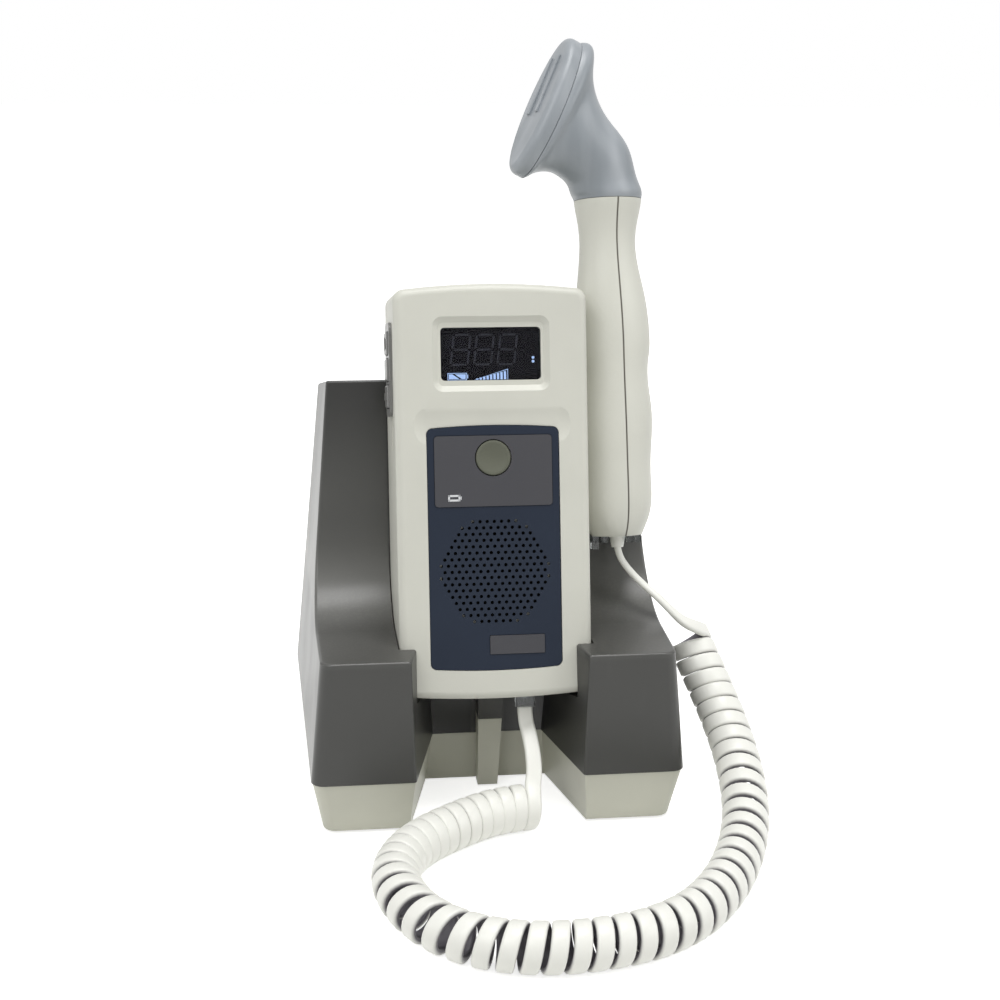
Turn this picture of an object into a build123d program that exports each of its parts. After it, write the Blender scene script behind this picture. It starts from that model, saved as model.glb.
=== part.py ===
from build123d import *
import os
from math import atan2, cos, degrees, pi, radians, sin, sqrt, tan

# Vascular doppler: a display unit and a probe on a charging stand, joined by a curly cord.
# Frame: X to the right, Y to the back, Z up, origin on the table under the middle of the stand.
# All sizes are in millimetres.

# Stand
stand_depth = 140.0
tray_height = 22.8
arm_height = 71.0
stand_top = 161.5
arm_setback = 5.3
stand_draft = 5.0
stand_wall = 2.6
parting_gap = 0.3
tray_inset = 0.5
tray_side_taper = 4.3
tray_end_taper = 3.5
upright_radius = 5.0
rim_radius = 1.2

# Recess between the arms
recess_front_width = 66.0
recess_back_width = 45.0
recess_depth = 43.8
recess_draft = 3.5
recess_taper = 2.8

# Ramp behind the unit and the probe
lean = 15.0
ramp_start = 38.0
ramp_radius = 36.0

# Post in the recess
post_width = 9.6
post_reach = 8.8
post_seam = 32.5
post_foot_setback = 4.5
post_foot_inset = 0.7

# Feet, bosses and screws of the stand
foot_radius = 6.0
foot_height = 2.4
foot_proud = 1.0
foot_inset = 13.0
screw_radius = 1.45
screw_head_radius = 2.8
screw_head_height = 1.8
screw_clearance = 0.15
boss_wall = 2.2
boss_web = 2.0

# Display unit, and the stand's widths around it
unit_width = 76.0
stand_beside_unit = 71.0
stand_flare = 4.0
stand_front_width = unit_width + stand_beside_unit
stand_rear_width = stand_front_width + stand_flare
unit_depth = 45.0
unit_length = 162.4
unit_top_bow = 2.4
unit_bottom_bow = 1.8
unit_corner = 4.6
unit_edge = 3.2
unit_wall = 2.2
seam_depth = 33.0
unit_face_y = 18.5
unit_face_below_arm = 20.9
seat_clearance = 0.4
side_clearance = 0.5
ramp_step = 0.6

# Bezel and display
bezel_width = 46.0
bezel_height = 29.2
bezel_centre = 135.2
bezel_depth = 1.7
bezel_slope = 2.3
window_width = 39.4
window_height = 20.6
window_thickness = 1.5
module_depth = 8.0
fit_gap = 0.2

# Front panel with its plates and its holes
panel_width = 51.8
panel_height = 95.8
panel_bow = 1.1
panel_centre = 59.4
panel_corner = 2.4
panel_thickness = 1.6
panel_sink = 0.5
pad_thickness = 1.8
dish_height = 7.0
dish_depth = 1.0
dish_width = 62.0
dish_end_radius = 12.0
label_width = 46.2
label_height = 27.6
label_centre = 89.6
plate_thickness = 0.7
plate_sink = 0.4
model_width = 21.6
model_height = 7.3
model_x = 8.3
model_centre = 21.4
grille_centre = 50.3
grille_pitch = 2.82
grille_hole = 1.36
grille_rows = (7, 10, 11, 12, 13, 14, 15, 16, 15, 16, 15, 14, 13, 12, 11, 10, 7)
button_radius = 6.9
button_centre = 94.7
button_gap = 0.35
button_travel = 0.8
button_dish = 1.0
button_flange = 1.2

# Key strip on the unit's left side
key_strip_centre = 129.8
key_strip_height = 37.0
key_strip_front = 9.0
key_strip_width = 20.0
key_proud = 1.7
key_frame_thickness = 2.6
key_border = 2.2
key_gap = 0.35
key_travel = 0.7
key_dimple = 5.0
side_groove_height = 13.0

# Speaker
speaker_radius = 22.5
speaker_flange = 1.4
speaker_body = 7.0
magnet_radius = 11.0
magnet_height = 7.5

# Boards, cells and door
board_thickness = 1.6
charge_board_width = 60.0
charge_board_depth = 54.0
charge_board_setback = 12.0
cell_radius = 7.1
cell_length = 50.0
cell_pitch = 14.6
cell_low = 40.0
door_width = 62.0
door_height = 72.0
door_thickness = 2.0
door_low = 30.0

# Plug, jack and charging contacts
plug_x = 12.4
plug_depth = 13.0
plug_width = 7.7
plug_thickness = 6.2
plug_length = 14.0
plug_showing = 5.1
jack_wall = 1.6
pin_radius = 0.75
pin_flange = 1.25
pin_travel = 1.0
pin_pitch = 6.0
pin_count = 4
pin_depth = 39.5
pin_gap = 0.25
block_depth = 4.6
pad_radius = 2.0

# Probe
probe_beside_unit = 16.0
probe_behind_face = 37.0
probe_above_arm = 32.1
probe_x = unit_width / 2 + probe_beside_unit
probe_y = unit_face_y + probe_behind_face
probe_z = arm_height + probe_above_arm
probe_turn = 14.7
probe_side_lean = 1.1
half_gap = 0.2
seam_x = -1.0
handle_top = 136.0
handle_wall = 2.0
# Height, half width, half depth and sideways offset of the handle's sections
handle_stations = (
    (0.0, 10.4, 10.0, -0.1),
    (4.0, 12.4, 12.0, -0.4),
    (9.0, 14.1, 13.3, -0.2),
    (18.0, 14.9, 14.0, 0.0),
    (35.0, 15.1, 14.1, 0.2),
    (55.0, 15.1, 14.1, 0.6),
    (75.0, 15.1, 14.1, 0.9),
    (88.0, 14.9, 13.8, 1.0),
    (98.0, 14.0, 12.9, 0.6),
    (108.0, 12.4, 11.8, 0.1),
    (118.0, 11.4, 11.2, 0.0),
    (127.0, 12.2, 12.0, 0.4),
    (136.0, 13.7, 13.8, 0.75),
)
face_tilt = 26.0
face_length = 60.2
face_width = 29.0
face_reach = 28.7
face_height = 174.4
cap_thickness = 6.2
cap_gap = 0.25
cap_skin = 2.0
cap_rounding = 3.4
bar_length = 25.0
bar_width = 2.2
bar_height = 0.9
bar_spacing = 7.6
bar_offset = 7.8
head_wall = 2.4
# Points on the head's back and on its underside that share a section, and the section's half width
head_stations = (
    ((14.4, 136.1), (-12.9, 136.1), 13.8),
    ((13.5, 143.0), (-14.1, 138.3), 13.6),
    ((10.7, 153.5), (-15.3, 141.5), 13.4),
    ((5.6, 163.0), (-18.0, 144.5), 13.3),
    ((-1.8, 172.5), (-21.6, 146.5), 13.3),
    ((-5.0, 181.5), (-25.6, 147.3), 13.2),
    ((-5.2, 188.0), (-29.4, 147.0), 13.1),
    ((-4.5, 195.4), (-33.0, 145.8), 14.2),
)

# Clear bracket under the probe
bracket_width = 25.0
bracket_height = 40.0
bracket_below = 3.0
bracket_thickness = 2.2
bracket_gap = 0.1
finger_width = 2.6
finger_height = 2.6
finger_offsets = (-9.6, -6.0, 4.6, 8.2)
finger_reach = 21.0

# Cord
cord_diameter = 4.4
curl_diameter = 18.5
curl_count = 50
# Distance along the cord's route and the pitch of the curls there
curl_pitches = (
    (0, 5.9), (25, 5.95), (50, 6.3), (77, 6.8), (102, 9.0), (122, 9.2), (142, 7.7), (172, 7.3),
    (212, 7.6), (247, 8.7), (277, 9.5), (302, 9.2), (327, 7.4), (379, 6.7),
)
# Bends of the probe's lead: share of the way from the curls to the probe, and offset from the straight line
probe_lead_bends = (
    (0.25, (0.6, -7.8, -2.4)),
    (0.38, (0.0, -8.0, -2.3)),
    (0.53, (-0.1, -6.1, -2.6)),
    (0.70, (-0.7, -2.7, -3.8)),
    (0.88, (-2.0, -0.6, -4.0)),
)
relief_length = 5.0
relief_radius = 3.3
relief_disc_top = 6.2
clamp_height = 3.0

front = -stand_depth / 2
rear = stand_depth / 2
slope = tan(radians(lean))
lean_cos = cos(radians(lean))
lean_sin = sin(radians(lean))

# Places of the three leaning parts
unit_place = Pos(
    0,
    front + unit_face_y - unit_face_below_arm * lean_sin,
    arm_height - unit_face_below_arm * lean_cos,
) * Rot(-lean, 0, 0)
probe_lean = Pos(probe_x, front + probe_y, probe_z) * Rot(-lean, 0, 0)
probe_place = probe_lean * Rot(0, -probe_side_lean, 0) * Rot(0, 0, probe_turn)


def export(name, shape):
    shape.label = name
    export_step(shape, "parts/" + name + ".step")


def group(solids):
    return Compound(children=[s for shape in solids for s in shape.solids()])


def box_between(low, high):
    size = [high[i] - low[i] for i in range(3)]
    middle = [(high[i] + low[i]) / 2 for i in range(3)]
    return Pos(*middle) * Box(*size)


def prism(outline, z_low, z_high):
    # Solid with flat sides between the outlines at two heights
    low = [Vector(x, y, z_low) for x, y in outline(z_low)]
    high = [Vector(x, y, z_high) for x, y in outline(z_high)]
    faces = [Face(Wire.make_polygon(low)), Face(Wire.make_polygon(high))]
    for i in range(len(low)):
        j = (i + 1) % len(low)
        faces.append(Face(Wire.make_polygon([low[i], low[j], high[j], high[i]])))
    return Solid(Shell(faces))


def half_width(y, z, inset=0.0):
    along = (y - front) / stand_depth
    base = stand_front_width / 2 + (stand_rear_width - stand_front_width) / 2 * along
    return base - (z - tray_height) * tan(radians(stand_draft)) - inset


# Stand

def side_wedge(z_low, z_high, inset):
    def outline(z):
        y_low, y_high = front - 30, rear + 30
        w_low, w_high = half_width(y_low, z, inset), half_width(y_high, z, inset)
        return [(-w_low, y_low), (w_low, y_low), (w_high, y_high), (-w_high, y_high)]
    return prism(outline, z_low, z_high)


def ramp_depth_at(z, inset=0.0):
    # Distance of the leaning plane behind the unit from the unit's own face plane
    plane = unit_depth + seat_clearance - ramp_step + inset
    face = front + unit_face_y + (z - arm_height) * slope
    return face + plane / lean_cos


def cover_profile(inset):
    arc = radians(90 - lean)
    arc_radius = ramp_radius + inset
    shelf = arm_height - inset
    arc_centre_z = arm_height + ramp_radius
    arc_end_z = arc_centre_z - arc_radius * cos(arc)
    arc_end_y = ramp_depth_at(arc_end_z, inset)
    arc_centre_y = arc_end_y - arc_radius * sin(arc)
    middle = radians(45 - lean / 2)
    low_z = tray_height - (5 if inset else 0)
    front_slope = arm_setback / (arm_height - tray_height)
    front_low = front + (low_z - tray_height) * front_slope + inset
    front_high = front + (shelf - tray_height) * front_slope + inset
    top_z = stand_top - inset * (1 + slope)
    top_y = ramp_depth_at(top_z, inset)
    rear_y = rear - 1.5 - inset
    rear_z = top_z - (rear_y - top_y) * slope
    outline = [
        Line((front_low, low_z), (front_high, shelf)),
        Line((front_high, shelf), (arc_centre_y, shelf)),
        ThreePointArc(
            (arc_centre_y, shelf),
            (arc_centre_y + arc_radius * sin(middle), arc_centre_z - arc_radius * cos(middle)),
            (arc_end_y, arc_end_z),
        ),
        Line((arc_end_y, arc_end_z), (top_y, top_z)),
        Line((top_y, top_z), (rear_y, rear_z)),
        Line((rear_y, rear_z), (rear - inset, low_z)),
        Line((rear - inset, low_z), (front_low, low_z)),
    ]
    return make_face(outline)


def cover_block(inset):
    section = Plane.YZ * cover_profile(inset)
    slab = extrude(section, stand_rear_width, both=True)
    return slab & side_wedge(tray_height - 6, stand_top + 6, inset)


def recess_outline(widen, reach):
    narrowing = (recess_front_width - recess_back_width) / 2 / recess_depth
    ahead = 30
    w_front = recess_front_width / 2 + widen + narrowing * ahead
    w_back = recess_front_width / 2 + widen - narrowing * reach
    return [
        (-w_front, front - ahead),
        (w_front, front - ahead),
        (w_back, front + reach),
        (-w_back, front + reach),
    ]


def recess_block(z_low, z_high, grow=0.0):
    def outline(z):
        widen = (z - tray_height) * tan(radians(recess_draft)) + grow
        return recess_outline(widen, recess_depth + grow)
    return prism(outline, z_low, z_high)


def pocket_block(grow=0.0):
    low = (-unit_width / 2 - side_clearance - grow, -side_clearance - grow, -seat_clearance - grow)
    high = (unit_width / 2 + side_clearance + grow, unit_depth + seat_clearance + grow, 190)
    return unit_place * box_between(low, high)


def post_outline(z):
    share = (z - foot_proud) / (post_seam - foot_proud)
    half = post_width / 2 - post_foot_inset * (1 - share)
    y_front = front + recess_depth - post_reach + post_foot_setback * (1 - share)
    return half, y_front


def post_block(z_low, z_high, back_y, grow=0.0):
    def outline(z):
        half, y_front = post_outline(z)
        half += grow
        y_front -= grow
        return [(-half, y_front), (half, y_front), (half, back_y), (-half, back_y)]
    return prism(outline, z_low, z_high)


def edges_where(shape, test):
    return [edge for edge in shape.edges() if test(edge)]


def spans(edge, axis):
    box = edge.bounding_box()
    return {"x": box.size.X, "y": box.size.Y, "z": box.size.Z}[axis]


boss_places = [
    (-stand_front_width / 2 + 17, front + 16),
    (stand_front_width / 2 - 17, front + 16),
    (-stand_rear_width / 2 + 16, rear - 16),
    (stand_rear_width / 2 - 16, rear - 16),
]
boss_radius = screw_radius + screw_clearance + boss_wall
pilot_top = tray_height + 16

# Charging contacts: under the pocket floor, given in the unit's frame
pin_places = [(-pin_pitch * (pin_count - 1) / 2 + pin_pitch * i, pin_depth) for i in range(pin_count)]
block_top = -seat_clearance - stand_wall - 0.05
block_height = 6.5
block_low = (-pin_pitch * pin_count / 2, pin_depth - block_depth / 2)
block_high = (pin_pitch * pin_count / 2, pin_depth + block_depth / 2)


def on_cover_rim(edge):
    box = edge.bounding_box()
    tangent_line = box.size.X > 40 and box.min.Y > front + 30 and box.max.Z < stand_top - 20
    on_rim = box.min.Z > tray_height + 2 and box.max.Z > arm_height - 1 and not tangent_line
    upright = box.size.Z > 40 and box.max.Y < front + 10 and box.max.X - box.min.X < 10
    return on_rim or upright and abs(box.center().X) < unit_width / 2


def make_cover():
    outer = cover_block(0)
    corner_edges = edges_where(
        outer, lambda e: spans(e, "z") > 40 and spans(e, "x") < 20 and spans(e, "y") < 10
    )
    outer = fillet(corner_edges, upright_radius)
    outer -= recess_block(tray_height - 10, arm_height + 25)
    outer = fillet(edges_where(outer, on_cover_rim), rim_radius)
    body = outer - pocket_block()
    cavity = cover_block(stand_wall)
    cavity -= recess_block(tray_height - 10, arm_height + 30, stand_wall)
    cavity -= pocket_block(stand_wall)
    body -= cavity
    # Post seat that the unit's underside rests on
    post = post_block(post_seam + fit_gap, arm_height, front + recess_depth + stand_wall / 2)
    body += post - pocket_block()
    # Bosses that take the screws from below, run up to the inside of the cover
    for x, y in boss_places:
        top = arm_height + 10
        boss = Pos(x, y, (tray_height + top) / 2) * Cylinder(boss_radius, top - tray_height)
        outward = x + stand_rear_width / 4 * (1 if x > 0 else -1)
        boss += box_between(
            (min(x, outward), y - boss_web / 2, tray_height + 4), (max(x, outward), y + boss_web / 2, top)
        )
        hole_height = pilot_top - tray_height
        hole = Pos(x, y, tray_height + hole_height / 2) * Cylinder(
            screw_radius + screw_clearance, hole_height
        )
        body += boss & cover_block(stand_wall / 2)
        body -= hole
    # Holes for the charging pins and the bracket screws
    for x, y in pin_places:
        body -= unit_place * Pos(x, y, -2) * Cylinder(pin_radius + 0.35, 8)
    for z in bracket_screw_heights:
        body -= bracket_place * Pos(0, 4, z) * Rot(90, 0, 0) * Cylinder(
            screw_radius + screw_clearance, 10
        )
    return body


def make_tray():
    top = tray_height - parting_gap
    bottom = foot_proud

    def outline(z, inset):
        share = (top - z) / (top - bottom)
        side = tray_side_taper * share + tray_inset + inset
        end = tray_end_taper * share + tray_inset + inset
        y_low, y_high = front + end, rear - end
        w_low = half_width(y_low, tray_height) - side
        w_high = half_width(y_high, tray_height) - side
        return [(-w_low, y_low), (w_low, y_low), (w_high, y_high), (-w_high, y_high)]

    def recess(z, grow):
        share = (top - z) / (top - bottom)
        widen = recess_taper * share + tray_inset + grow
        return recess_outline(widen, recess_depth + widen)

    outer = prism(lambda z: outline(z, 0), bottom, top)
    upright = edges_where(outer, lambda e: spans(e, "z") > 10)
    outer = fillet(upright, upright_radius)
    floor_edges = outer.faces().sort_by(Axis.Z)[0].edges()
    outer = fillet(floor_edges, 1.6)
    body = outer - prism(lambda z: recess(z, 0), bottom - 1, top + 1)
    inner = prism(lambda z: outline(z, stand_wall), bottom + stand_wall, top + 1)
    inner -= prism(lambda z: recess(z, stand_wall), bottom - 1, top + 2)
    body -= inner
    # Post: rises from the tray in front of the cover's recess wall
    wall_y = front + recess_depth
    post = post_block(bottom, top, wall_y + stand_wall / 2 + tray_inset)
    post += post_block(top, post_seam, wall_y - fit_gap)
    body += post
    for x, y in boss_places:
        body += Pos(x, y, (bottom + top) / 2) * Cylinder(boss_radius + 1.2, top - bottom)
        body -= Pos(x, y, (bottom + top) / 2) * Cylinder(screw_radius + screw_clearance, 60)
        head_room = screw_head_height + 3.0
        body -= Pos(x, y, bottom + head_room / 2) * Cylinder(
            screw_head_radius + screw_clearance, head_room
        )
    for x, y in foot_places:
        body -= Pos(x, y, bottom) * Cylinder(foot_radius + fit_gap, 2 * (foot_height - foot_proud))
    # Pillars under the charging board
    for x, y in board_pillars:
        height = board_z - bottom - stand_wall / 2
        body += Pos(x, y, bottom + stand_wall / 2 + height / 2) * Cylinder(3.0, height)
    body -= inlet_hole
    return body


foot_places = [
    (-stand_front_width / 2 + foot_inset + 18, front + foot_inset),
    (stand_front_width / 2 - foot_inset - 18, front + foot_inset),
    (-stand_rear_width / 2 + foot_inset + 18, rear - foot_inset),
    (stand_rear_width / 2 - foot_inset - 18, rear - foot_inset),
]

board_z = 9.0
board_low = (-charge_board_width / 2, rear - charge_board_setback - charge_board_depth)
board_high = (charge_board_width / 2, rear - charge_board_setback)
board_pillars = [
    (x, y)
    for x in (board_low[0] + 5, board_high[0] - 5)
    for y in (board_low[1] + 5, board_high[1] - 8)
]
inlet_x = 18.0
inlet_height = 10.0
inlet_width = 10.0
inlet_radius = 3.2
inlet_z = board_z + board_thickness + inlet_height / 2
inlet_nose = rear - tray_inset - 0.4
inlet_hole = Pos(inlet_x, rear, inlet_z) * Rot(90, 0, 0) * Cylinder(inlet_radius + 1.2 + fit_gap, 16)


def make_feet():
    low_z, high_z = 0.0, foot_height
    pads = []
    for x, y in foot_places:
        pad = Pos(x, y, (low_z + high_z) / 2) * Cylinder(foot_radius, high_z - low_z)
        pads.append(chamfer(pad.edges().sort_by(Axis.Z)[0], 0.5))
    return group(pads)


def screw(length, radius=screw_radius, head_radius=screw_head_radius):
    # Head below, shank upward from z = 0
    shank = Pos(0, 0, length / 2) * Cylinder(radius, length)
    head = Pos(0, 0, -screw_head_height / 2) * Cylinder(head_radius, screw_head_height)
    head = fillet(head.edges().sort_by(Axis.Z)[0], 0.5)
    slot = Pos(0, 0, -screw_head_height) * (Box(head_radius, 0.6, 1.4) + Box(0.6, head_radius, 1.4))
    return shank + head - slot


def make_stand_screws():
    seat = foot_proud + screw_head_height + 3.0
    length = pilot_top - seat - 1.0
    return group([Pos(x, y, seat) * screw(length) for x, y in boss_places])


def make_charge_board():
    board = box_between(
        (board_low[0], board_low[1], board_z), (board_high[0], board_high[1], board_z + board_thickness)
    )
    for x, y in board_pillars:
        board -= Pos(x, y, board_z) * Cylinder(1.2, 8)
    chips = [
        Pos(-12, board_high[1] - 28, board_z + board_thickness + 1.0) * Box(9, 9, 2.0),
        Pos(4, board_high[1] - 36, board_z + board_thickness + 1.6) * Cylinder(3.0, 3.2),
        Pos(-20, board_high[1] - 40, board_z + board_thickness + 2.0) * Box(7, 5, 4.0),
    ]
    for chip in chips:
        board += chip
    return board


def make_power_inlet():
    y_front = inlet_nose - 12
    y_back = rear - tray_inset - tray_end_taper - stand_wall - 0.6
    body = box_between(
        (inlet_x - inlet_width / 2, y_front, board_z + board_thickness),
        (inlet_x + inlet_width / 2, y_back, inlet_z + inlet_height / 2),
    )
    nose_length = 8.0
    nose = Pos(inlet_x, inlet_nose - nose_length / 2 - 1.2, inlet_z) * Rot(90, 0, 0) * Cylinder(
        inlet_radius + 1.2, nose_length
    )
    bore = Pos(inlet_x, inlet_nose - 1.2, inlet_z) * Rot(90, 0, 0) * Cylinder(inlet_radius, 18)
    pin = Pos(inlet_x, inlet_nose - 6.5, inlet_z) * Rot(90, 0, 0) * Cylinder(0.9, 8)
    return body + nose - bore + pin


def make_contact_block():
    block = box_between(
        (block_low[0], block_low[1], block_top - block_height), (block_high[0], block_high[1], block_top)
    )
    for x, y in pin_places:
        block -= Pos(x, y, block_top - 2.0) * Cylinder(pin_flange + 0.2, 6.0)
        block -= Pos(x, y, block_top - block_height) * Cylinder(pin_radius + 0.2, 4.0)
    return unit_place * block


def make_charge_pins():
    top = -pin_gap
    pins = []
    for x, y in pin_places:
        shaft_low = block_top - block_height + 0.4
        shaft = Pos(x, y, (top + shaft_low) / 2) * Cylinder(pin_radius, top - shaft_low)
        flange_top = block_top - 0.15
        flange = Pos(x, y, flange_top - 0.5) * Cylinder(pin_flange, 1.0)
        pins.append(fillet(shaft.edges().sort_by(Axis.Z)[-1], 0.3) + flange)
    return group([unit_place * pin for pin in pins])


# Clear bracket: frame with y = 0 on the ramp, z along it, x = 0 under the probe's middle
unit_frame_y = unit_depth + seat_clearance - ramp_step
probe_in_unit_z = (probe_z - (arm_height - unit_face_below_arm * lean_cos)) * lean_cos + (
    front + probe_y - (front + unit_face_y - unit_face_below_arm * lean_sin)
) * lean_sin
bracket_place = unit_place * Pos(probe_x, unit_frame_y - bracket_gap, probe_in_unit_z)
bracket_screw_heights = (8.0, 30.0)
sink_depth = 1.3


def make_bracket():
    plate = box_between(
        (-bracket_width / 2, -bracket_thickness, -bracket_below),
        (bracket_width / 2, 0, bracket_height - bracket_below),
    )
    plate = fillet(
        edges_where(plate, lambda e: spans(e, "y") > 1 and spans(e, "x") < 0.1 and spans(e, "z") < 0.1),
        2.0,
    )
    body = plate
    for i, x in enumerate(finger_offsets):
        body += box_between(
            (x - finger_width / 2, -finger_reach, -seat_clearance - finger_height),
            (x + finger_width / 2, -bracket_thickness / 2, -seat_clearance),
        )
        if i == 0:
            body += box_between(
                (x - finger_width / 2, -finger_reach, -seat_clearance - 2 * finger_height),
                (x + finger_width / 2, -finger_reach + 5.0, -seat_clearance),
            )
    cross = box_between(
        (finger_offsets[0], -bracket_thickness - 3.0, -seat_clearance - finger_height),
        (finger_offsets[-1], -bracket_thickness / 2, -seat_clearance),
    )
    body += cross
    for z in bracket_screw_heights:
        body -= Pos(0, -1, z) * Rot(90, 0, 0) * Cylinder(screw_radius + screw_clearance, 8)
        body -= Pos(0, -bracket_thickness + sink_depth / 2, z) * Rot(90, 0, 0) * Cylinder(
            screw_head_radius + screw_clearance, sink_depth
        )
    return bracket_place * body


def make_bracket_screws():
    screws = []
    for z in bracket_screw_heights:
        head_low = -bracket_thickness + 0.1
        head_high = -bracket_thickness + sink_depth - 0.05
        head = Pos(0, (head_low + head_high) / 2, z) * Rot(90, 0, 0) * Cylinder(
            screw_head_radius, head_high - head_low
        )
        shank = Pos(0, (head_low + 6.0) / 2, z) * Rot(90, 0, 0) * Cylinder(screw_radius, 6.0 - head_low)
        screws.append(shank + head)
    return group([bracket_place * s for s in screws])


# Display unit, in its own upright frame: x across, y from the face to the back, z up

def rounded_plate(width, height, corner, y_low, y_high, x=0.0, z=0.0):
    sketch = Plane.XZ * RectangleRounded(width, height, corner)
    return Pos(x, y_high, z) * extrude(sketch, y_high - y_low)


def unit_body(inset=0.0):
    half = unit_width / 2 - inset
    shoulder = unit_length - unit_top_bow - inset
    foot = unit_bottom_bow + inset
    outline = Face(Wire([
        Edge.make_three_point_arc((-half, foot), (0, inset), (half, foot)),
        Edge.make_line((half, foot), (half, shoulder)),
        Edge.make_three_point_arc((half, shoulder), (0, unit_length - inset), (-half, shoulder)),
        Edge.make_line((-half, shoulder), (-half, foot)),
    ]))
    outline = fillet(outline.vertices(), unit_corner - inset)
    body = Pos(0, unit_depth - inset, 0) * extrude(Plane.XZ * outline, unit_depth - 2 * inset)
    rounding = max(unit_edge - inset, 0.8)
    ring_front = edges_where(body, lambda e: e.bounding_box().max.Y < inset + 0.01)
    ring_back = edges_where(body, lambda e: e.bounding_box().min.Y > unit_depth - inset - 0.01)
    return fillet(ring_front + ring_back, rounding)


panel_face = panel_sink
panel_back = panel_sink + panel_thickness
speaker_place = Pos(0, panel_back, grille_centre)
window_z = bezel_centre
strip_low = key_strip_centre - key_strip_height / 2
strip_high = key_strip_centre + key_strip_height / 2
strip_back = key_strip_front + key_strip_width
jack_low = unit_wall + 0.6
jack_height = 15.0
jack_size = (plug_width + 2 * jack_wall + 0.4, plug_thickness + 2 * jack_wall + 0.4)
case_screws = [(x, z) for x in (-30.5, 30.5) for z in (13.2, 151.4)]


def panel_outline(grow=0.0):
    half, end = panel_width / 2 + grow, panel_height / 2 + grow
    corner_z = end - panel_bow
    outline = Face(Wire([
        Edge.make_three_point_arc((-half, -corner_z), (0, -end), (half, -corner_z)),
        Edge.make_line((half, -corner_z), (half, corner_z)),
        Edge.make_three_point_arc((half, corner_z), (0, end), (-half, corner_z)),
        Edge.make_line((-half, corner_z), (-half, -corner_z)),
    ]))
    return Pos(0, panel_centre) * fillet(outline.vertices(), panel_corner + grow)


def dish_block():  # a shallow trough across the top of the panel, with rounded ends
    radius = (dish_height ** 2 + dish_depth ** 2) / (2 * dish_depth)
    reach = sqrt(dish_end_radius ** 2 - (dish_end_radius - dish_depth) ** 2)
    length = dish_width + 2 * (dish_end_radius - reach)
    bar = Rot(0, 90, 0) * Cylinder(radius, length)
    bar = fillet(bar.edges().filter_by(GeomType.CIRCLE), dish_end_radius)
    return Pos(0, dish_depth - radius, panel_centre + panel_height / 2) * bar


def make_front_shell():
    shell = unit_body() - unit_body(unit_wall)
    shell &= box_between((-60, -1, -1), (60, seam_depth, unit_length + 1))
    # Thick pads behind the bezel and the panel that are recessed from outside
    inner = unit_body(unit_wall)
    bezel_back = bezel_depth + 2.4
    pad_back = panel_back + pad_thickness
    pad = rounded_plate(bezel_width + 6, bezel_height + 6, 4, unit_wall / 2, bezel_back, 0, bezel_centre)
    pad += rounded_plate(panel_width + 4, panel_height + 4, 4, unit_wall / 2, pad_back, 0, panel_centre)
    shell += pad & inner
    # Bezel: sloped recess and the window opening
    mouth = Plane.XZ * RectangleRounded(bezel_width, bezel_height, 4.0)
    floor = Plane.XZ * RectangleRounded(bezel_width - 2 * bezel_slope, bezel_height - 2 * bezel_slope, 2.0)
    recess = loft([Pos(0, -0.01, bezel_centre) * mouth, Pos(0, bezel_depth, bezel_centre) * floor])
    shell -= recess
    shell -= rounded_plate(window_width, window_height, 1.6, 0, 12, 0, window_z)
    # Panel recess with a soft dish above it
    shell -= Pos(0, panel_back, 0) * extrude(Plane.XZ * panel_outline(fit_gap), panel_back + 1)
    shell -= dish_block()
    # Openings behind the panel
    shell -= Pos(0, 5, grille_centre) * Rot(90, 0, 0) * Cylinder(speaker_radius - 1.5, 12)
    shell -= Pos(0, 5, button_centre) * Rot(90, 0, 0) * Cylinder(button_radius + button_gap, 12)
    # Key opening and the shallow groove below it
    shell -= box_between(
        (-unit_width / 2 - 1, key_strip_front + key_border, strip_low + key_border),
        (-unit_width / 2 + unit_wall + 1, strip_back - key_border, strip_high - key_border),
    )
    groove = Pos(-unit_width / 2, key_strip_front + 6, strip_low - side_groove_height / 2 - 0.5) * Box(
        1.6, 3.0, side_groove_height
    )
    shell -= groove
    # Jack opening in the bottom
    shell -= Pos(plug_x, plug_depth, 0) * Box(plug_width + 0.8, plug_thickness + 0.8, 8)
    # Bosses for the case screws
    for x, z in case_screws:
        boss = Pos(x, (unit_wall + seam_depth) / 2, z) * Rot(90, 0, 0) * Cylinder(
            3.4, seam_depth - unit_wall + 0.4
        )
        shell += boss & unit_body(unit_wall / 2)
        shell -= Pos(x, seam_depth - 6, z) * Rot(90, 0, 0) * Cylinder(screw_radius + screw_clearance, 12.2)
    shell &= box_between((-60, -1, -1), (60, seam_depth - fit_gap / 2, unit_length + 1))
    return shell


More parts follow.
